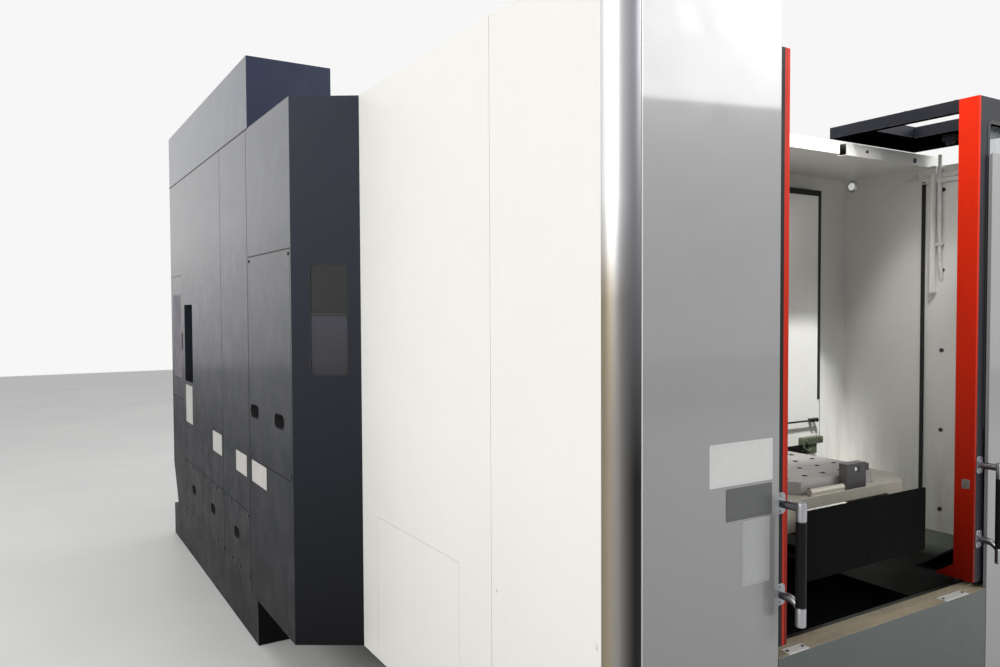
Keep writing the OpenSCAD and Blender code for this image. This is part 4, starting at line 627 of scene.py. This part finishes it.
def setup_panel():
    """Pane and lock plate of the tool setup door, and the things kept in the recess beside it."""
    low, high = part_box("setup_door")
    x = outer_x
    bm = bmesh.new()
    m = face((x + 0.002, (low.y + high.y) / 2, (1.19 + 1.79) / 2), LEFT)
    slab(bm, m, high.y - low.y - 0.125, 0.59, 0.0016, 0.004, 0.0006)
    make("setup_door_pane", bm, "setup_door_pane", "setup_door_body")
    bm = bmesh.new()
    slab(bm, face((x, low.y + 0.03, 1.46), LEFT), 0.026, 0.12, 0.003, 0.012, 0.0012)
    lathe(bm, face((x - 0.0029, low.y + 0.03, 1.49), LEFT),
          [(0.009, 0), (0.009, 0.0005), (0.006, 0.0009), (0, 0.0009)])
    make("setup_door_lock", bm, "black_plastic", "setup_door_body")
    y0, y1 = 4.1 + FRONT, 4.38 + FRONT
    bm = bmesh.new()
    block(bm, (x + 0.1, y0 + 0.03, 1.215), (x + 0.154, y1 - 0.03, 1.235), 0.006, 0.003)
    block(bm, (x + 0.146, y0 + 0.05, 1.235), (x + 0.155, y1 - 0.05, 1.66), 0.003, 0.002)
    for z in (1.36, 1.5, 1.62):
        lathe(bm, face((x + 0.148, (y0 + y1) / 2, z), LEFT),
              [(0.011, 0), (0.011, 0.045), (0.016, 0.047), (0.016, 0.055), (0.012, 0.06),
               (0, 0.06)])
    make("setup_recess_rack", bm, "grey_plastic", "machine")
    bm = bmesh.new()
    for dy in (-0.06, 0.05):
        lathe(bm, face((x + 0.125, (y0 + y1) / 2 + dy, 1.235), UP),
              [(0.02, 0), (0.02, 0.05), (0.028, 0.055), (0.028, 0.07), (0.016, 0.08),
               (0.016, 0.16), (0.012, 0.165), (0, 0.165)])
    make("setup_recess_holders", bm, "ground_steel", "machine")


def slot_liners():
    """Raised rims and dark pockets behind the finger slots of the dark side."""
    places = [(2.072, 1.175, 0.15, 0.065), (2.503, 1.175, 0.15, 0.065)]
    joints = [2.615, 3.225, 3.825, 4.425]
    places += [((a + b) / 2, 0.47, 0.12, 0.06) for a, b in zip(joints, joints[1:])]
    bm = bmesh.new()
    for v, z, w, h in places:
        frame_ring(bm, face(P(outer_x, v, z), LEFT), w, h, h / 2, 0.004, 0.0012, -0.0004, 8)
    make("finger_slot_rims", bm, "black_rubber", "machine")
    # Moulded pockets that close the slots from behind
    bm = bmesh.new()
    for v, z, w, h in places:
        m = face(P(outer_x + 0.0045, v, z), LEFT)
        inner, outer = outline(w, h, h / 2, 8), outline(w + 0.012, h + 0.012, h / 2 + 0.006, 8)
        a, b = ring(bm, m, outer, 0), ring(bm, m, inner, 0)
        c, d = ring(bm, m, inner, -0.036), ring(bm, m, outer, -0.04)
        for p, q in ((a, b), (b, c), (d, a)):
            bridge(bm, p, q)
        bm.faces.new(c)
        bm.faces.new(d[::-1])
    make("finger_slot_pockets", bm, "black_rubber", "machine")


def cover_seams():
    """Dark sealing strips under the tower and above the access panel."""
    bm = bmesh.new()
    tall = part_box("magazine_cover")[1].z
    start, end = 2.583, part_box("tower_cover")[1].y - FRONT
    m = face(P(outer_x, (start + end) / 2, tall), LEFT)
    slab(bm, m, end - start, 0.007, 0.0012, 0.001, 0.0004)
    m = face(P(outer_x + 0.219, start, tall + 0.002), AHEAD)
    slab(bm, m, 0.436, 0.008, 0.0012, 0.001, 0.0004)
    make("tower_seam", bm, "black_rubber", "machine")
    bm = bmesh.new()
    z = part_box("access_panel")[1].z
    m = face(P(outer_x, (SLANT_DEPTH + 2.6) / 2 + 0.006, z + 0.0015), LEFT)
    slab(bm, m, 0.712, 0.006, 0.001, 0.001, 0.0003)
    make("access_seam", bm, "black_rubber", "machine")


def magazine_tools():
    """Taper shanks and cutters seated in most of the wheel's pots."""
    low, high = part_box("tool_wheel")
    centre = Vector((0, (low.y + high.y) / 2, (low.z + high.z) / 2))
    rng = random.Random(5)
    bm = bmesh.new()
    mouth, wheel_radius = outer_x + 0.06 + 0.149, 0.558
    for k in range(30):
        if k % 5 == 3:
            continue
        a = math.tau * k / 30
        at = centre + Vector((mouth, wheel_radius * math.cos(a), wheel_radius * math.sin(a)))
        reach = rng.uniform(0.05, 0.1)
        r = rng.uniform(0.006, 0.016)
        lathe(bm, face(at, RIGHT), [
            (0.024, -0.05), (0.026, 0.001), (0.036, 0.001), (0.036, 0.008), (0.031, 0.01),
            (0.031, 0.014), (0.036, 0.016), (0.036, 0.022), (0.02, 0.026), (0.017, 0.045),
            (r, 0.047), (r, reach + 0.04), (r * 0.6, reach + 0.043), (0, reach + 0.043)], 16)
    make("magazine_tools", bm, "ground_steel", "wheel")


stickers()
window_bezel()
setup_panel()
slot_liners()
cover_seams()
magazine_tools()

# === loading station

wall_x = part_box("inner_walls")[1].x - 0.003


def station_lamp():
    """Round lamp in the station's right wall."""
    m = face(P(wall_x, 0.9, 2.256), LEFT)
    bm = bmesh.new()
    lathe(bm, m, [(0.026, 0), (0.026, 0.006), (0.022, 0.01), (0.019, 0.01)])
    make("station_lamp_ring", bm, "satin_silver", "machine")
    bm = bmesh.new()
    lathe(bm, m, [(0.0188, 0.001), (0.0188, 0.009), (0.014, 0.013), (0.006, 0.015), (0, 0.0155)])
    make("station_lamp_lens", bm, "lamp_lens", "machine")


def seal_brackets():
    """Two small folded brackets above the upright seal on the right wall."""
    bm = bmesh.new()
    for v, z, w in ((0.6, 2.262, 0.052), (0.515, 2.238, 0.06)):
        slab(bm, face(P(wall_x, v, z), LEFT), w, 0.04, 0.0025, 0.003, 0.0008)
        block(bm, P(wall_x - 0.026, v - w / 2, z - 0.02), P(wall_x - 0.0005, v + w / 2, z - 0.017),
              0.002, 0.0008)
        screws(bm, [P(wall_x - 0.0025, v + dv * w, z + 0.004) for dv in (-0.3, 0.3)],
               LEFT, 0.005, 0.003)
    make("seal_brackets", bm, "white_plastic", "machine")


def wall_hoses():
    """White air pipe beside the conduit on the right wall, with its saddles."""
    bm = bmesh.new()
    x = wall_x - 0.012
    pipe(bm, [P(x, 0.469, 2.336), P(x, 0.466, 1.9), P(x, 0.462, 1.84),
              P(wall_x + 0.001, 0.46, 1.8)], 0.008, 0.04)
    make("air_pipe", bm, "white_plastic", "machine")
    bm = bmesh.new()
    slab(bm, face(P(wall_x, 0.467, 1.95), LEFT), 0.03, 0.012, 0.0215, 0.003, 0.001)
    slab(bm, face(P(wall_x, 0.43, 2.226), LEFT), 0.1, 0.018, 0.0215, 0.003, 0.001)
    make("pipe_saddles", bm, "white_plastic", "machine")


def header_details():
    """A plugged hole and edge bolts in the canopy's front face."""
    bm = bmesh.new()
    lathe(bm, face(P(0.933, 0.52, 2.309), AHEAD),
          [(0.011, 0), (0.011, 0.002), (0.008, 0.0028), (0.006, 0.001), (0, 0.001)])
    screws(bm, [P(x, 0.52, 2.315) for x in (-0.86, -0.4, 0.1, 0.6)], AHEAD, 0.006, 0.0035)
    make("header_plugs", bm, "black_steel", "machine")


def partition_fittings():
    """The thin bar across the turning partition, its knob and the wet clamp at the corner."""
    v = PARTITION_DEPTH
    bm = bmesh.new()
    pipe(bm, [P(-0.3, v - 0.018, 1.168), P(0.692, v - 0.018, 1.168)], 0.004, 0)
    for x in (-0.28, 0.05, 0.38, 0.675):
        block(bm, P(x - 0.008, v - 0.024, 1.16), P(x + 0.008, v, 1.176), 0.002, 0.001)
    lathe(bm, face(P(0.702, v, 1.169), AHEAD),
          [(0.007, 0), (0.007, 0.012), (0.01, 0.014), (0.01, 0.024), (0.007, 0.027), (0, 0.027)])
    make("partition_bar", bm, "black_steel", "changer")
    bm = bmesh.new()
    block(bm, P(0.6, v - 0.032, 1.064), P(0.735, v, 1.094), 0.005, 0.003)
    block(bm, P(0.64, v - 0.026, 1.02), P(0.7, v + 0.006, 1.066), 0.006, 0.003)
    pipe(bm, [P(0.612, v - 0.02, 1.08), P(0.604, v - 0.028, 1.05), P(0.64, v - 0.028, 1.03),
              P(0.672, v - 0.02, 1.045)], 0.005, 0.012)
    screws(bm, [P(x, v - 0.032, 1.079) for x in (0.618, 0.72)], AHEAD, 0.007, 0.005)
    make("partition_clamp", bm, "clamp_green", "changer")


def sill_plates():
    """Two wear plates on the sill's top, and their screws."""
    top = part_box("sill_panel")[1].z
    plates = (-0.5, -0.41), (0.302, 0.442)
    bm = bmesh.new()
    for x0, x1 in plates:
        block(bm, P(x0, 0.001, top), P(x1, 0.037, top + 0.002), 0.003, 0.0008)
    make("sill_plates", bm, "plate_white", "machine")
    bm = bmesh.new()
    screws(bm, [P(x, 0.019, top + 0.0018) for x0, x1 in plates for x in (x0 + 0.012, x1 - 0.012)],
           UP, 0.0045, 0.0025)
    make("sill_plate_screws", bm, "black_steel", "machine")


def pallet_inserts():
    """Bushings in the pallet's hole grid and a worn centre ring, on both pallets."""
    for name in ("front_pallet", "rear_pallet"):
        low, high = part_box(name)
        c = (low + high) / 2
        bm = bmesh.new()
        for i in range(-2, 3):
            for j in range(-2, 3):
                r = 0.025 if i == j == 0 else 0.008
                m = face((c.x + i * 0.095, c.y + j * 0.095, high.z - 0.012), UP)
                lathe(bm, m, [(r * 0.99, 0), (r * 1.35, 0.0122), (r * 1.25, 0.0128),
                              (r * 0.8, 0.0124), (r * 0.78, 0.001)], 18)
        make(name + "_bushings", bm, "black_steel", "changer")


def apron_details():
    """Screws and a top strip on the apron under the pallet, behind its front face."""
    low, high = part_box("apron")
    y = low.y + 0.001
    bm = bmesh.new()
    screws(bm, [(x, y, z) for x in (-0.26, 0.0, 0.26) for z in (low.z + 0.03, high.z - 0.03)],
           AHEAD, 0.006, 0.002)
    block(bm, (low.x, y, high.z - 0.004), (high.x, low.y + 0.008, high.z + 0.0025), 0.001, 0.001)
    make("apron_trim", bm, "black_paint", "machine")


def clamp_core():
    """Bright end of the clamping bolt inside the block's square hole."""
    bm = bmesh.new()
    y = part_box("clamp_blocks")[0].y + 0.016
    m = face((0.059, y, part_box("fork_arm")[1].z + 0.064), AHEAD)
    slab(bm, m, 0.0295, 0.0215, 0.004, 0.002, 0.001)
    lathe(bm, m, [(0.008, 0.003), (0.008, 0.008), (0.006, 0.0095), (0.003, 0.0095), (0.003, 0.006),
                  (0, 0.006)])
    make("clamp_bolt", bm, "satin_silver", "changer")


def partition_lips():
    """Rubber lips along the upright and top edges of the turning partition, on both its faces."""
    low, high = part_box("partition")
    bm = bmesh.new()
    for y, normal in ((low.y, AHEAD), (high.y, BACK)):
        for x in (low.x + 0.0085, high.x - 0.0085):
            slab(bm, face((x, y, (low.z + high.z) / 2 + 0.1), normal), 0.016, high.z - low.z - 0.2,
                 0.003, 0.002, 0.001)
        slab(bm, face((0, y, high.z - 0.0065), normal), high.x - low.x, 0.013, 0.003, 0.001, 0.001)
    make("partition_lips", bm, "black_rubber", "changer")


station_lamp()
seal_brackets()
wall_hoses()
header_details()
partition_fittings()
sill_plates()
pallet_inserts()
apron_details()
clamp_core()
partition_lips()

# === loading doors

leaf_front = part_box("right_door_frame")[0].y


def door_fittings(side):
    """Grip, ferrules, window gaskets, handle pads, catch, roof bolts and sweep of one leaf."""
    word = "left" if side < 0 else "right"
    body = word + "_door"
    x = side * 0.526
    tube = face((x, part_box(word + "_door_handle")[0].y + 0.014, 0), UP)
    bm = bmesh.new()
    ribs = [(0.015 + 0.0003 * (k % 2), 0.848 + k * 0.0056) for k in range(41)]
    lathe(bm, tube, [(0.0135, 0.834), (0.015, 0.836), (0.0154, 0.842), *ribs,
                     (0.0154, 1.072), (0.015, 1.077), (0.0135, 1.079)], 32)
    make(word + "_grip_sleeve", bm, "grip_sleeve", body)
    bm = bmesh.new()
    for z0, z1 in ((0.78, 0.834), (1.079, 1.133)):
        lathe(bm, tube, [(0.013, z0 + 0.0005), (0.0142, z0 + 0.001), (0.015, z0 + 0.004),
                         (0.015, z1 - 0.004), (0.0142, z1 - 0.001), (0.013, z1 - 0.0005)], 32)
    make(word + "_grip_ferrules", bm, "handle_ferrule", body)
    win_low, win_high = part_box(word + "_door_window")
    c = (win_low + win_high) / 2
    w, h = win_high.x - win_low.x, win_high.z - win_low.z
    bm = bmesh.new()
    for y, normal in ((leaf_front, AHEAD), (leaf_front + 0.071, BACK)):
        m = face((c.x, y, c.z), normal)
        frame_ring(bm, m, w - 0.012, h - 0.012, 0.012, 0.014, 0.004, -0.002)
    make(word + "_window_gasket", bm, "black_rubber", body)
    # Pads behind the handle's arms, and a small steel catch on the leading edge
    bm = bmesh.new()
    for z in (0.85, 1.116):
        slab(bm, face((x, leaf_front, z), AHEAD), 0.04, 0.062, 0.003, 0.012, 0.001)
        screws(bm, [(x, leaf_front - 0.003, z + dz) for dz in (-0.023, 0.023)],
               AHEAD, 0.0045, 0.002)
    make(word + "_handle_pads", bm, "handle_arm", body)
    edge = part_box(word + "_door_edge")[1 if side < 0 else 0].x
    bm = bmesh.new()
    m = face((edge, leaf_front + 0.03, 1.045), (-side, 0, 0))
    slab(bm, m, 0.028, 0.034, 0.0009, 0.003, 0.0003)
    make(word + "_leaf_catch", bm, "ground_steel", body)
    # Bolts along the roof frame
    frame_low, frame_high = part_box(word + "_door_frame")
    bm = bmesh.new()
    screws(bm, [P(side * dx, v, frame_high.z) for v in (0.11, 0.3, 0.5) for dx in (0.515, 1.06)],
           UP, 0.007, 0.005)
    make(word + "_roof_bolts", bm, "black_steel", body)
    # Rubber sweep under the leaf
    bm = bmesh.new()
    x0, x1 = sorted((side * 0.5, side * 1.08))
    block(bm, (x0, leaf_front + 0.06, frame_low.z),
          (x1, leaf_front + 0.066, frame_low.z + 0.022), 0.001, 0.001)
    make(word + "_leaf_sweep", bm, "black_rubber", body)


for side in (-1, 1):
    door_fittings(side)

# === operator side and cabinet


def operator_panel_details():
    """Screen, soft keys, key caps, dials, the stop button's yellow ring and a grab bar."""
    x = PANEL_X
    y0, y1 = 0.11 + FRONT, 0.446 + FRONT
    bm = bmesh.new()
    m = face((x - 0.012, (y0 + y1) / 2, 1.605), RIGHT)
    slab(bm, m, 0.322, 0.314, 0.003, 0.006, 0.001)
    make("panel_screen", bm, "screen_glass", "panel")
    bm = bmesh.new()
    frame_ring(bm, m, 0.292, 0.232, 0.006, 0.012, 0.006, 0.002)
    for k in range(9):
        slab(bm, face((x - 0.009, y0 + 0.04 + k * 0.032, 1.462), RIGHT), 0.024, 0.014, 0.0045,
             0.003, 0.0015)
    make("panel_soft_keys", bm, "black_plastic", "panel")
    bm = bmesh.new()
    tinted = bmesh.new()
    for row in range(5):
        for column in range(8):
            at = P(x + 0.0038, 0.132 + column * 0.041, 1.221 + row * 0.038)
            target = tinted if (row, column) in ((0, 0), (0, 7), (4, 7)) else bm
            slab(target, face(at, RIGHT), 0.0225, 0.0205, 0.003, 0.003, 0.0012)
    make("panel_keys", bm, "white_plastic", "panel")
    make("panel_colour_keys", tinted, "green_plastic", "panel")
    bm = bmesh.new()
    for v in (0.215, 0.3, 0.385):
        lathe(bm, face(P(x, v, 1.12), RIGHT),
              [(0.026, 0), (0.026, 0.002), (0.019, 0.004), (0.017, 0.02), (0.015, 0.022),
               (0, 0.022)], 28)
        slab(bm, face(P(x + 0.0215, v, 1.128), RIGHT), 0.003, 0.014, 0.002, 0.001, 0.0005)
    make("panel_dials", bm, "black_plastic", "panel")
    bm = bmesh.new()
    lathe(bm, face(P(x, 0.13, 1.12), RIGHT),
          [(0.0225, 0), (0.0225, 0.0025), (0.033, 0.0025), (0.034, 0.0015), (0.034, 0)], 36)
    make("stop_ring", bm, "yellow_plastic", "panel")
    bm = bmesh.new()
    screws(bm, [P(x, v, z) for v in (0.09, 0.466) for z in (1.075, 1.805)], RIGHT, 0.005, 0.003)
    pipe(bm, [P(x + out, v, 1.072) for out, v in ((0, 0.1), (0.03, 0.1), (0.03, 0.45), (0, 0.45))],
         0.006, 0.012)
    make("panel_grab_bar", bm, "satin_silver", "panel")


def operator_door_details():
    """Window gasket, handle caps, grip and screws of the operator door."""
    x, handle_x, handle_v = OPERATOR_DOOR_X, 1.227, 2.01
    bm = bmesh.new()
    frame_ring(bm, face(P(x, 1.65, 1.625), RIGHT), 0.588, 0.718, 0.014, 0.014, 0.005, -0.003)
    make("operator_window_gasket", bm, "black_rubber", "side_door")
    bm = bmesh.new()
    for z in (0.912, 1.168):
        lathe(bm, face(P(handle_x, handle_v, z - 0.01), UP),
              [(0.0124, 0), (0.0138, 0.002), (0.0138, 0.018), (0.0124, 0.02)], 28)
    for z in (0.92, 1.16):
        slab(bm, face(P(x, handle_v, z), RIGHT), 0.036, 0.036, 0.003, 0.017, 0.001, 0, 8)
    make("operator_handle_caps", bm, "handle_arm", "side_door")
    bm = bmesh.new()
    ribs = [(0.0133 + 0.0004 * (k % 2), 0.938 + k * 0.0062) for k in range(34)]
    lathe(bm, face(P(handle_x, handle_v, 0), UP),
          [(0.0124, 0.93), (0.0136, 0.934), *ribs, (0.0136, 1.146), (0.0124, 1.15)], 28)
    make("operator_grip", bm, "black_plastic", "side_door")
    bm = bmesh.new()
    screws(bm, [P(x, v, z) for v in (1.27, 1.65, 2.04) for z in (0.765, 2.095)],
           RIGHT, 0.005, 0.003)
    make("operator_door_screws", bm, "black_steel", "side_door")


def cabinet_details():
    """Vent grilles, lever handle and switch plate on the door; lifting eyes above."""
    x = min(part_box("cabinet_door")[1].x, CABINET_DOOR_X)
    bm = bmesh.new()
    for z in (0.36, 2.06):
        frame_ring(bm, face(P(x, 2.95, z), RIGHT), 0.262, 0.262, 0.01, 0.022, 0.01)
        for k in range(13):
            m = face(P(x, 2.95, z - 0.12 + k * 0.02), RIGHT)
            slab(bm, m, 0.262, 0.011, 0.007, 0.001, 0.0025)
    make("cabinet_vents", bm, "grey_plastic", "cabinet_door_body")
    bm = bmesh.new()
    v = 2.475
    slab(bm, face(P(x, v, 1.2), RIGHT), 0.044, 0.2, 0.008, 0.014, 0.003)
    pipe(bm, [P(x + 0.006, v, 1.262), P(x + 0.02, v, 1.262), P(x + 0.02, v, 1.14)], 0.0085, 0.01)
    lathe(bm, face(P(x + 0.007, v, 1.262), RIGHT),
          [(0.016, 0), (0.016, 0.004), (0.012, 0.007), (0, 0.007)])
    make("cabinet_latch", bm, "black_plastic", "cabinet_door_body")
    bm = bmesh.new()
    slab(bm, face(P(x, 2.48, 1.7), RIGHT), 0.095, 0.095, 0.0012, 0.006, 0.0004)
    make("switch_plate", bm, "yellow_plastic", "cabinet_door_body")
    bm = bmesh.new()
    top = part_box("electrical_cabinet")[1].z
    turns = [math.radians(-80 + 340 * k / 16) for k in range(17)]
    for x in (0.86, 1.28):
        for v in (2.49, 3.41):
            lathe(bm, face(P(x, v, top), UP),
                  [(0.02, 0), (0.02, 0.006), (0.01, 0.01), (0.01, 0.018)], 20)
            pipe(bm, [P(x, v, top) + Vector((0.016 * math.cos(a), 0, 0.034 + 0.016 * math.sin(a)))
                      for a in turns], 0.0055, 0.0)
    make("cabinet_lifting_eyes", bm, "ground_steel", "machine")


# === rear


def rear_details():
    """Hoods over the louvres, a bolted cover and edge screws on the rear wall."""
    back = REAR_DEPTH
    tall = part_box("rear_cover")[1].z
    hood = ((0.0, 0.0165), (0.013, 0.003), (0.013, 0.0005), (0.0115, 0.0005), (0.0, 0.0135))
    bm = bmesh.new()
    for row in range(10):
        z = tall - 0.42 + row * 0.034
        ends = [[bm.verts.new(P(x, back + out, z + rise)) for out, rise in hood]
                for x in (-0.424, 0.424)]
        bridge(bm, ends[0], ends[1])
        bm.faces.new(ends[0])
        bm.faces.new(ends[1])
    make("louvre_hoods", bm, "charcoal_sheet", "machine")
    bm = bmesh.new()
    slab(bm, face(P(0.0, back, 1.75), BACK), 0.9, 0.52, 0.003, 0.02, 0.001)
    make("rear_service_cover", bm, "charcoal_sheet", "machine")
    bm = bmesh.new()
    screws(bm, [P(x, back + 0.003, z) for x in (-0.42, -0.14, 0.14, 0.42) for z in (1.52, 1.98)],
           BACK, 0.006, 0.004)
    screws(bm, [P(x, back, z) for z in (0.4, 0.9, 1.4, 1.9, 2.4) for x in (-0.66, 0.76)],
           BACK, 0.007, 0.004)
    make("rear_screws", bm, "black_steel", "machine")


def conveyor_details():
    """Fins, cowl and terminal box of the drive motor; bolts along the trough; rear hatch."""
    v, z = 4.84, 1.01
    bm = bmesh.new()
    prof = [(0.0695, 0.004)]
    for k in range(11):
        at = 0.016 + k * 0.0105
        prof += [(0.07, at), (0.0765, at + 0.0012), (0.0765, at + 0.0038), (0.07, at + 0.005)]
    prof += [(0.07, 0.134), (0.074, 0.136), (0.074, 0.186), (0.066, 0.194), (0.02, 0.194),
             (0.02, 0.1905), (0, 0.1905)]
    lathe(bm, face(P(0.24, v, z), RIGHT), prof, 36)
    block(bm, P(0.3, v - 0.045, z + 0.066), P(0.38, v + 0.045, z + 0.112), 0.008, 0.004)
    make("conveyor_motor_fins", bm, "cast_iron_paint", "machine")
    bm = bmesh.new()
    bolts = ((3.7, 0.285), (3.86, 0.285), (4.02, 0.285), (3.7, 0.045), (3.95, 0.045),
             (4.2, 0.045), (4.98, 0.84), (4.98, 1.08), (4.83, 0.86))
    for side, normal in ((-1, LEFT), (1, RIGHT)):
        screws(bm, [P(side * 0.24, v, z) for v, z in bolts], normal, 0.007, 0.005)
    make("conveyor_bolts", bm, "black_steel", "machine")
    bm = bmesh.new()
    m = face(P(0, 5.025, 0.96), BACK)
    frame_ring(bm, m, 0.3, 0.17, 0.012, 0.02, 0.004)
    slab(bm, m, 0.296, 0.166, 0.002, 0.012, 0.0006)
    make("conveyor_hatch", bm, "grey_sheet", "machine")


def spindle_details():
    """Bolt ring round the spindle nose on the head."""
    low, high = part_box("spindle")
    c = (low + high) / 2
    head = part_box("spindle_head")[0].y
    bm = bmesh.new()
    turns = [math.tau * (k + 0.5) / 12 for k in range(12)]
    screws(bm, [(c.x + 0.088 * math.cos(a), head, c.z + 0.088 * math.sin(a)) for a in turns],
           AHEAD, 0.0055, 0.004)
    make("spindle_nose_bolts", bm, "black_steel", "head")


operator_panel_details()
operator_door_details()
cabinet_details()
rear_details()
conveyor_details()
spindle_details()

# === camera

# The photo's camera, fitted to the edges in the photo
EYE = (-2.4073, FRONT - 1.5326, 1.6819)
YAW, PITCH, ROLL = (math.radians(a) for a in (31.2094, 1.806, -0.2701))
look = Vector((math.sin(YAW) * math.cos(PITCH), math.cos(YAW) * math.cos(PITCH), -math.sin(PITCH)))
right = Vector((math.cos(YAW), -math.sin(YAW), 0))
up = right.cross(look)
right, up = (right * math.cos(ROLL) + up * math.sin(ROLL),
             up * math.cos(ROLL) - right * math.sin(ROLL))
cam_data = bpy.data.cameras.new("camera")
cam_data.lens = 28.909
cam_data.sensor_width = 36
cam = add("camera", cam_data)
turn = Matrix((right, up, -look)).transposed().to_4x4()
cam.matrix_world = Matrix.Translation(EYE) @ turn
bpy.context.scene.camera = cam

# === stage and light


def make_floor():
    g = Graph("studio_floor")
    tone = g.ramp(g.noise(0.8, 5), 0.3, 0.7)
    g.set(Base_Color=g.mix(tone, (0.8, 0.8, 0.79), (0.74, 0.74, 0.735)), Roughness=0.5,
          Normal=g.bump(g.noise(60, 3), 0.02, 0.001))
    bm = bmesh.new()
    bmesh.ops.create_grid(bm, x_segments=8, y_segments=8, size=20)
    me = bpy.data.meshes.new("studio_floor")
    bm.to_mesh(me)
    bm.free()
    me.materials.append(g.mat)
    o = add("studio_floor", me)
    o.location.z = -0.002


SKY_STRENGTH = 0.42
BACKDROP = (0.93, 0.93, 0.93)


def make_world():
    """Soft white light from all around, and a plain light grey where it is seen or mirrored."""
    world = bpy.data.worlds.new("studio_world")
    bpy.context.scene.world = world
    world.use_nodes = True
    world.node_tree.nodes.clear()
    w = Nodes(world.node_tree)
    soft = w.new("ShaderNodeBackground", {"Color": (1, 1, 1), "Strength": SKY_STRENGTH})
    plain = w.new("ShaderNodeBackground", {"Color": BACKDROP, "Strength": 1.0})
    rays = w.new("ShaderNodeLightPath").outputs
    seen = w.math("MAXIMUM", rays["Is Camera Ray"], rays["Is Transmission Ray"])
    seen = w.math("MAXIMUM", seen, rays["Is Glossy Ray"])
    mix = w.new("ShaderNodeMixShader", {0: seen, 1: soft.outputs[0], 2: plain.outputs[0]})
    w.new("ShaderNodeOutputWorld", {0: mix.outputs[0]})


def lamp(name, kind, at, to, watts, **settings):
    """A lamp that shines from one place towards another."""
    data = bpy.data.lights.new(name, kind)
    data.energy = watts
    for k, v in settings.items():
        setattr(data, k, v)
    o = add(name, data)
    o.location = at
    o.rotation_euler = (Vector(to) - Vector(at)).to_track_quat("-Z", "Y").to_euler()


def soft_box(name, at, to, width, height, watts, color=(1, 1, 1)):
    lamp(name, "AREA", at, to, watts, shape="RECTANGLE", size=width, size_y=height, color=color)


def hall_lamp(name, at, to, degrees, blend, radius, watts):
    """A ceiling lamp of the hall that shines into the open station, between the two leaves."""
    lamp(name, "SPOT", at, to, watts, spot_size=math.radians(degrees), spot_blend=blend,
         shadow_soft_size=radius)


make_floor()
make_world()
soft_box("key", (-9.0, -2.6, 4.6), (-1.1, -0.6, 1.4), 6, 5, 460, (1, 0.985, 0.96))
soft_box("front", (5.7, -8.6, 6.05), (4.3, -2.5, 2.4), 6.0, 3.3, 560)
soft_box("top", (0, 0.5, 7.5), (0, 0, 0), 7, 7, 220)
hall_lamp("hall", P(-0.9, -0.8, 5.0), P(0.36, 0.88, 1.3), 16.0, 0.35, 0.09, 1100)
hall_lamp("hall_fill", P(-0.3, -0.6, 4.2), P(0.98, 0.5, 1.8), 26, 0.6, 0.3, 170)

bpy.context.scene.view_settings.view_transform = "Standard"
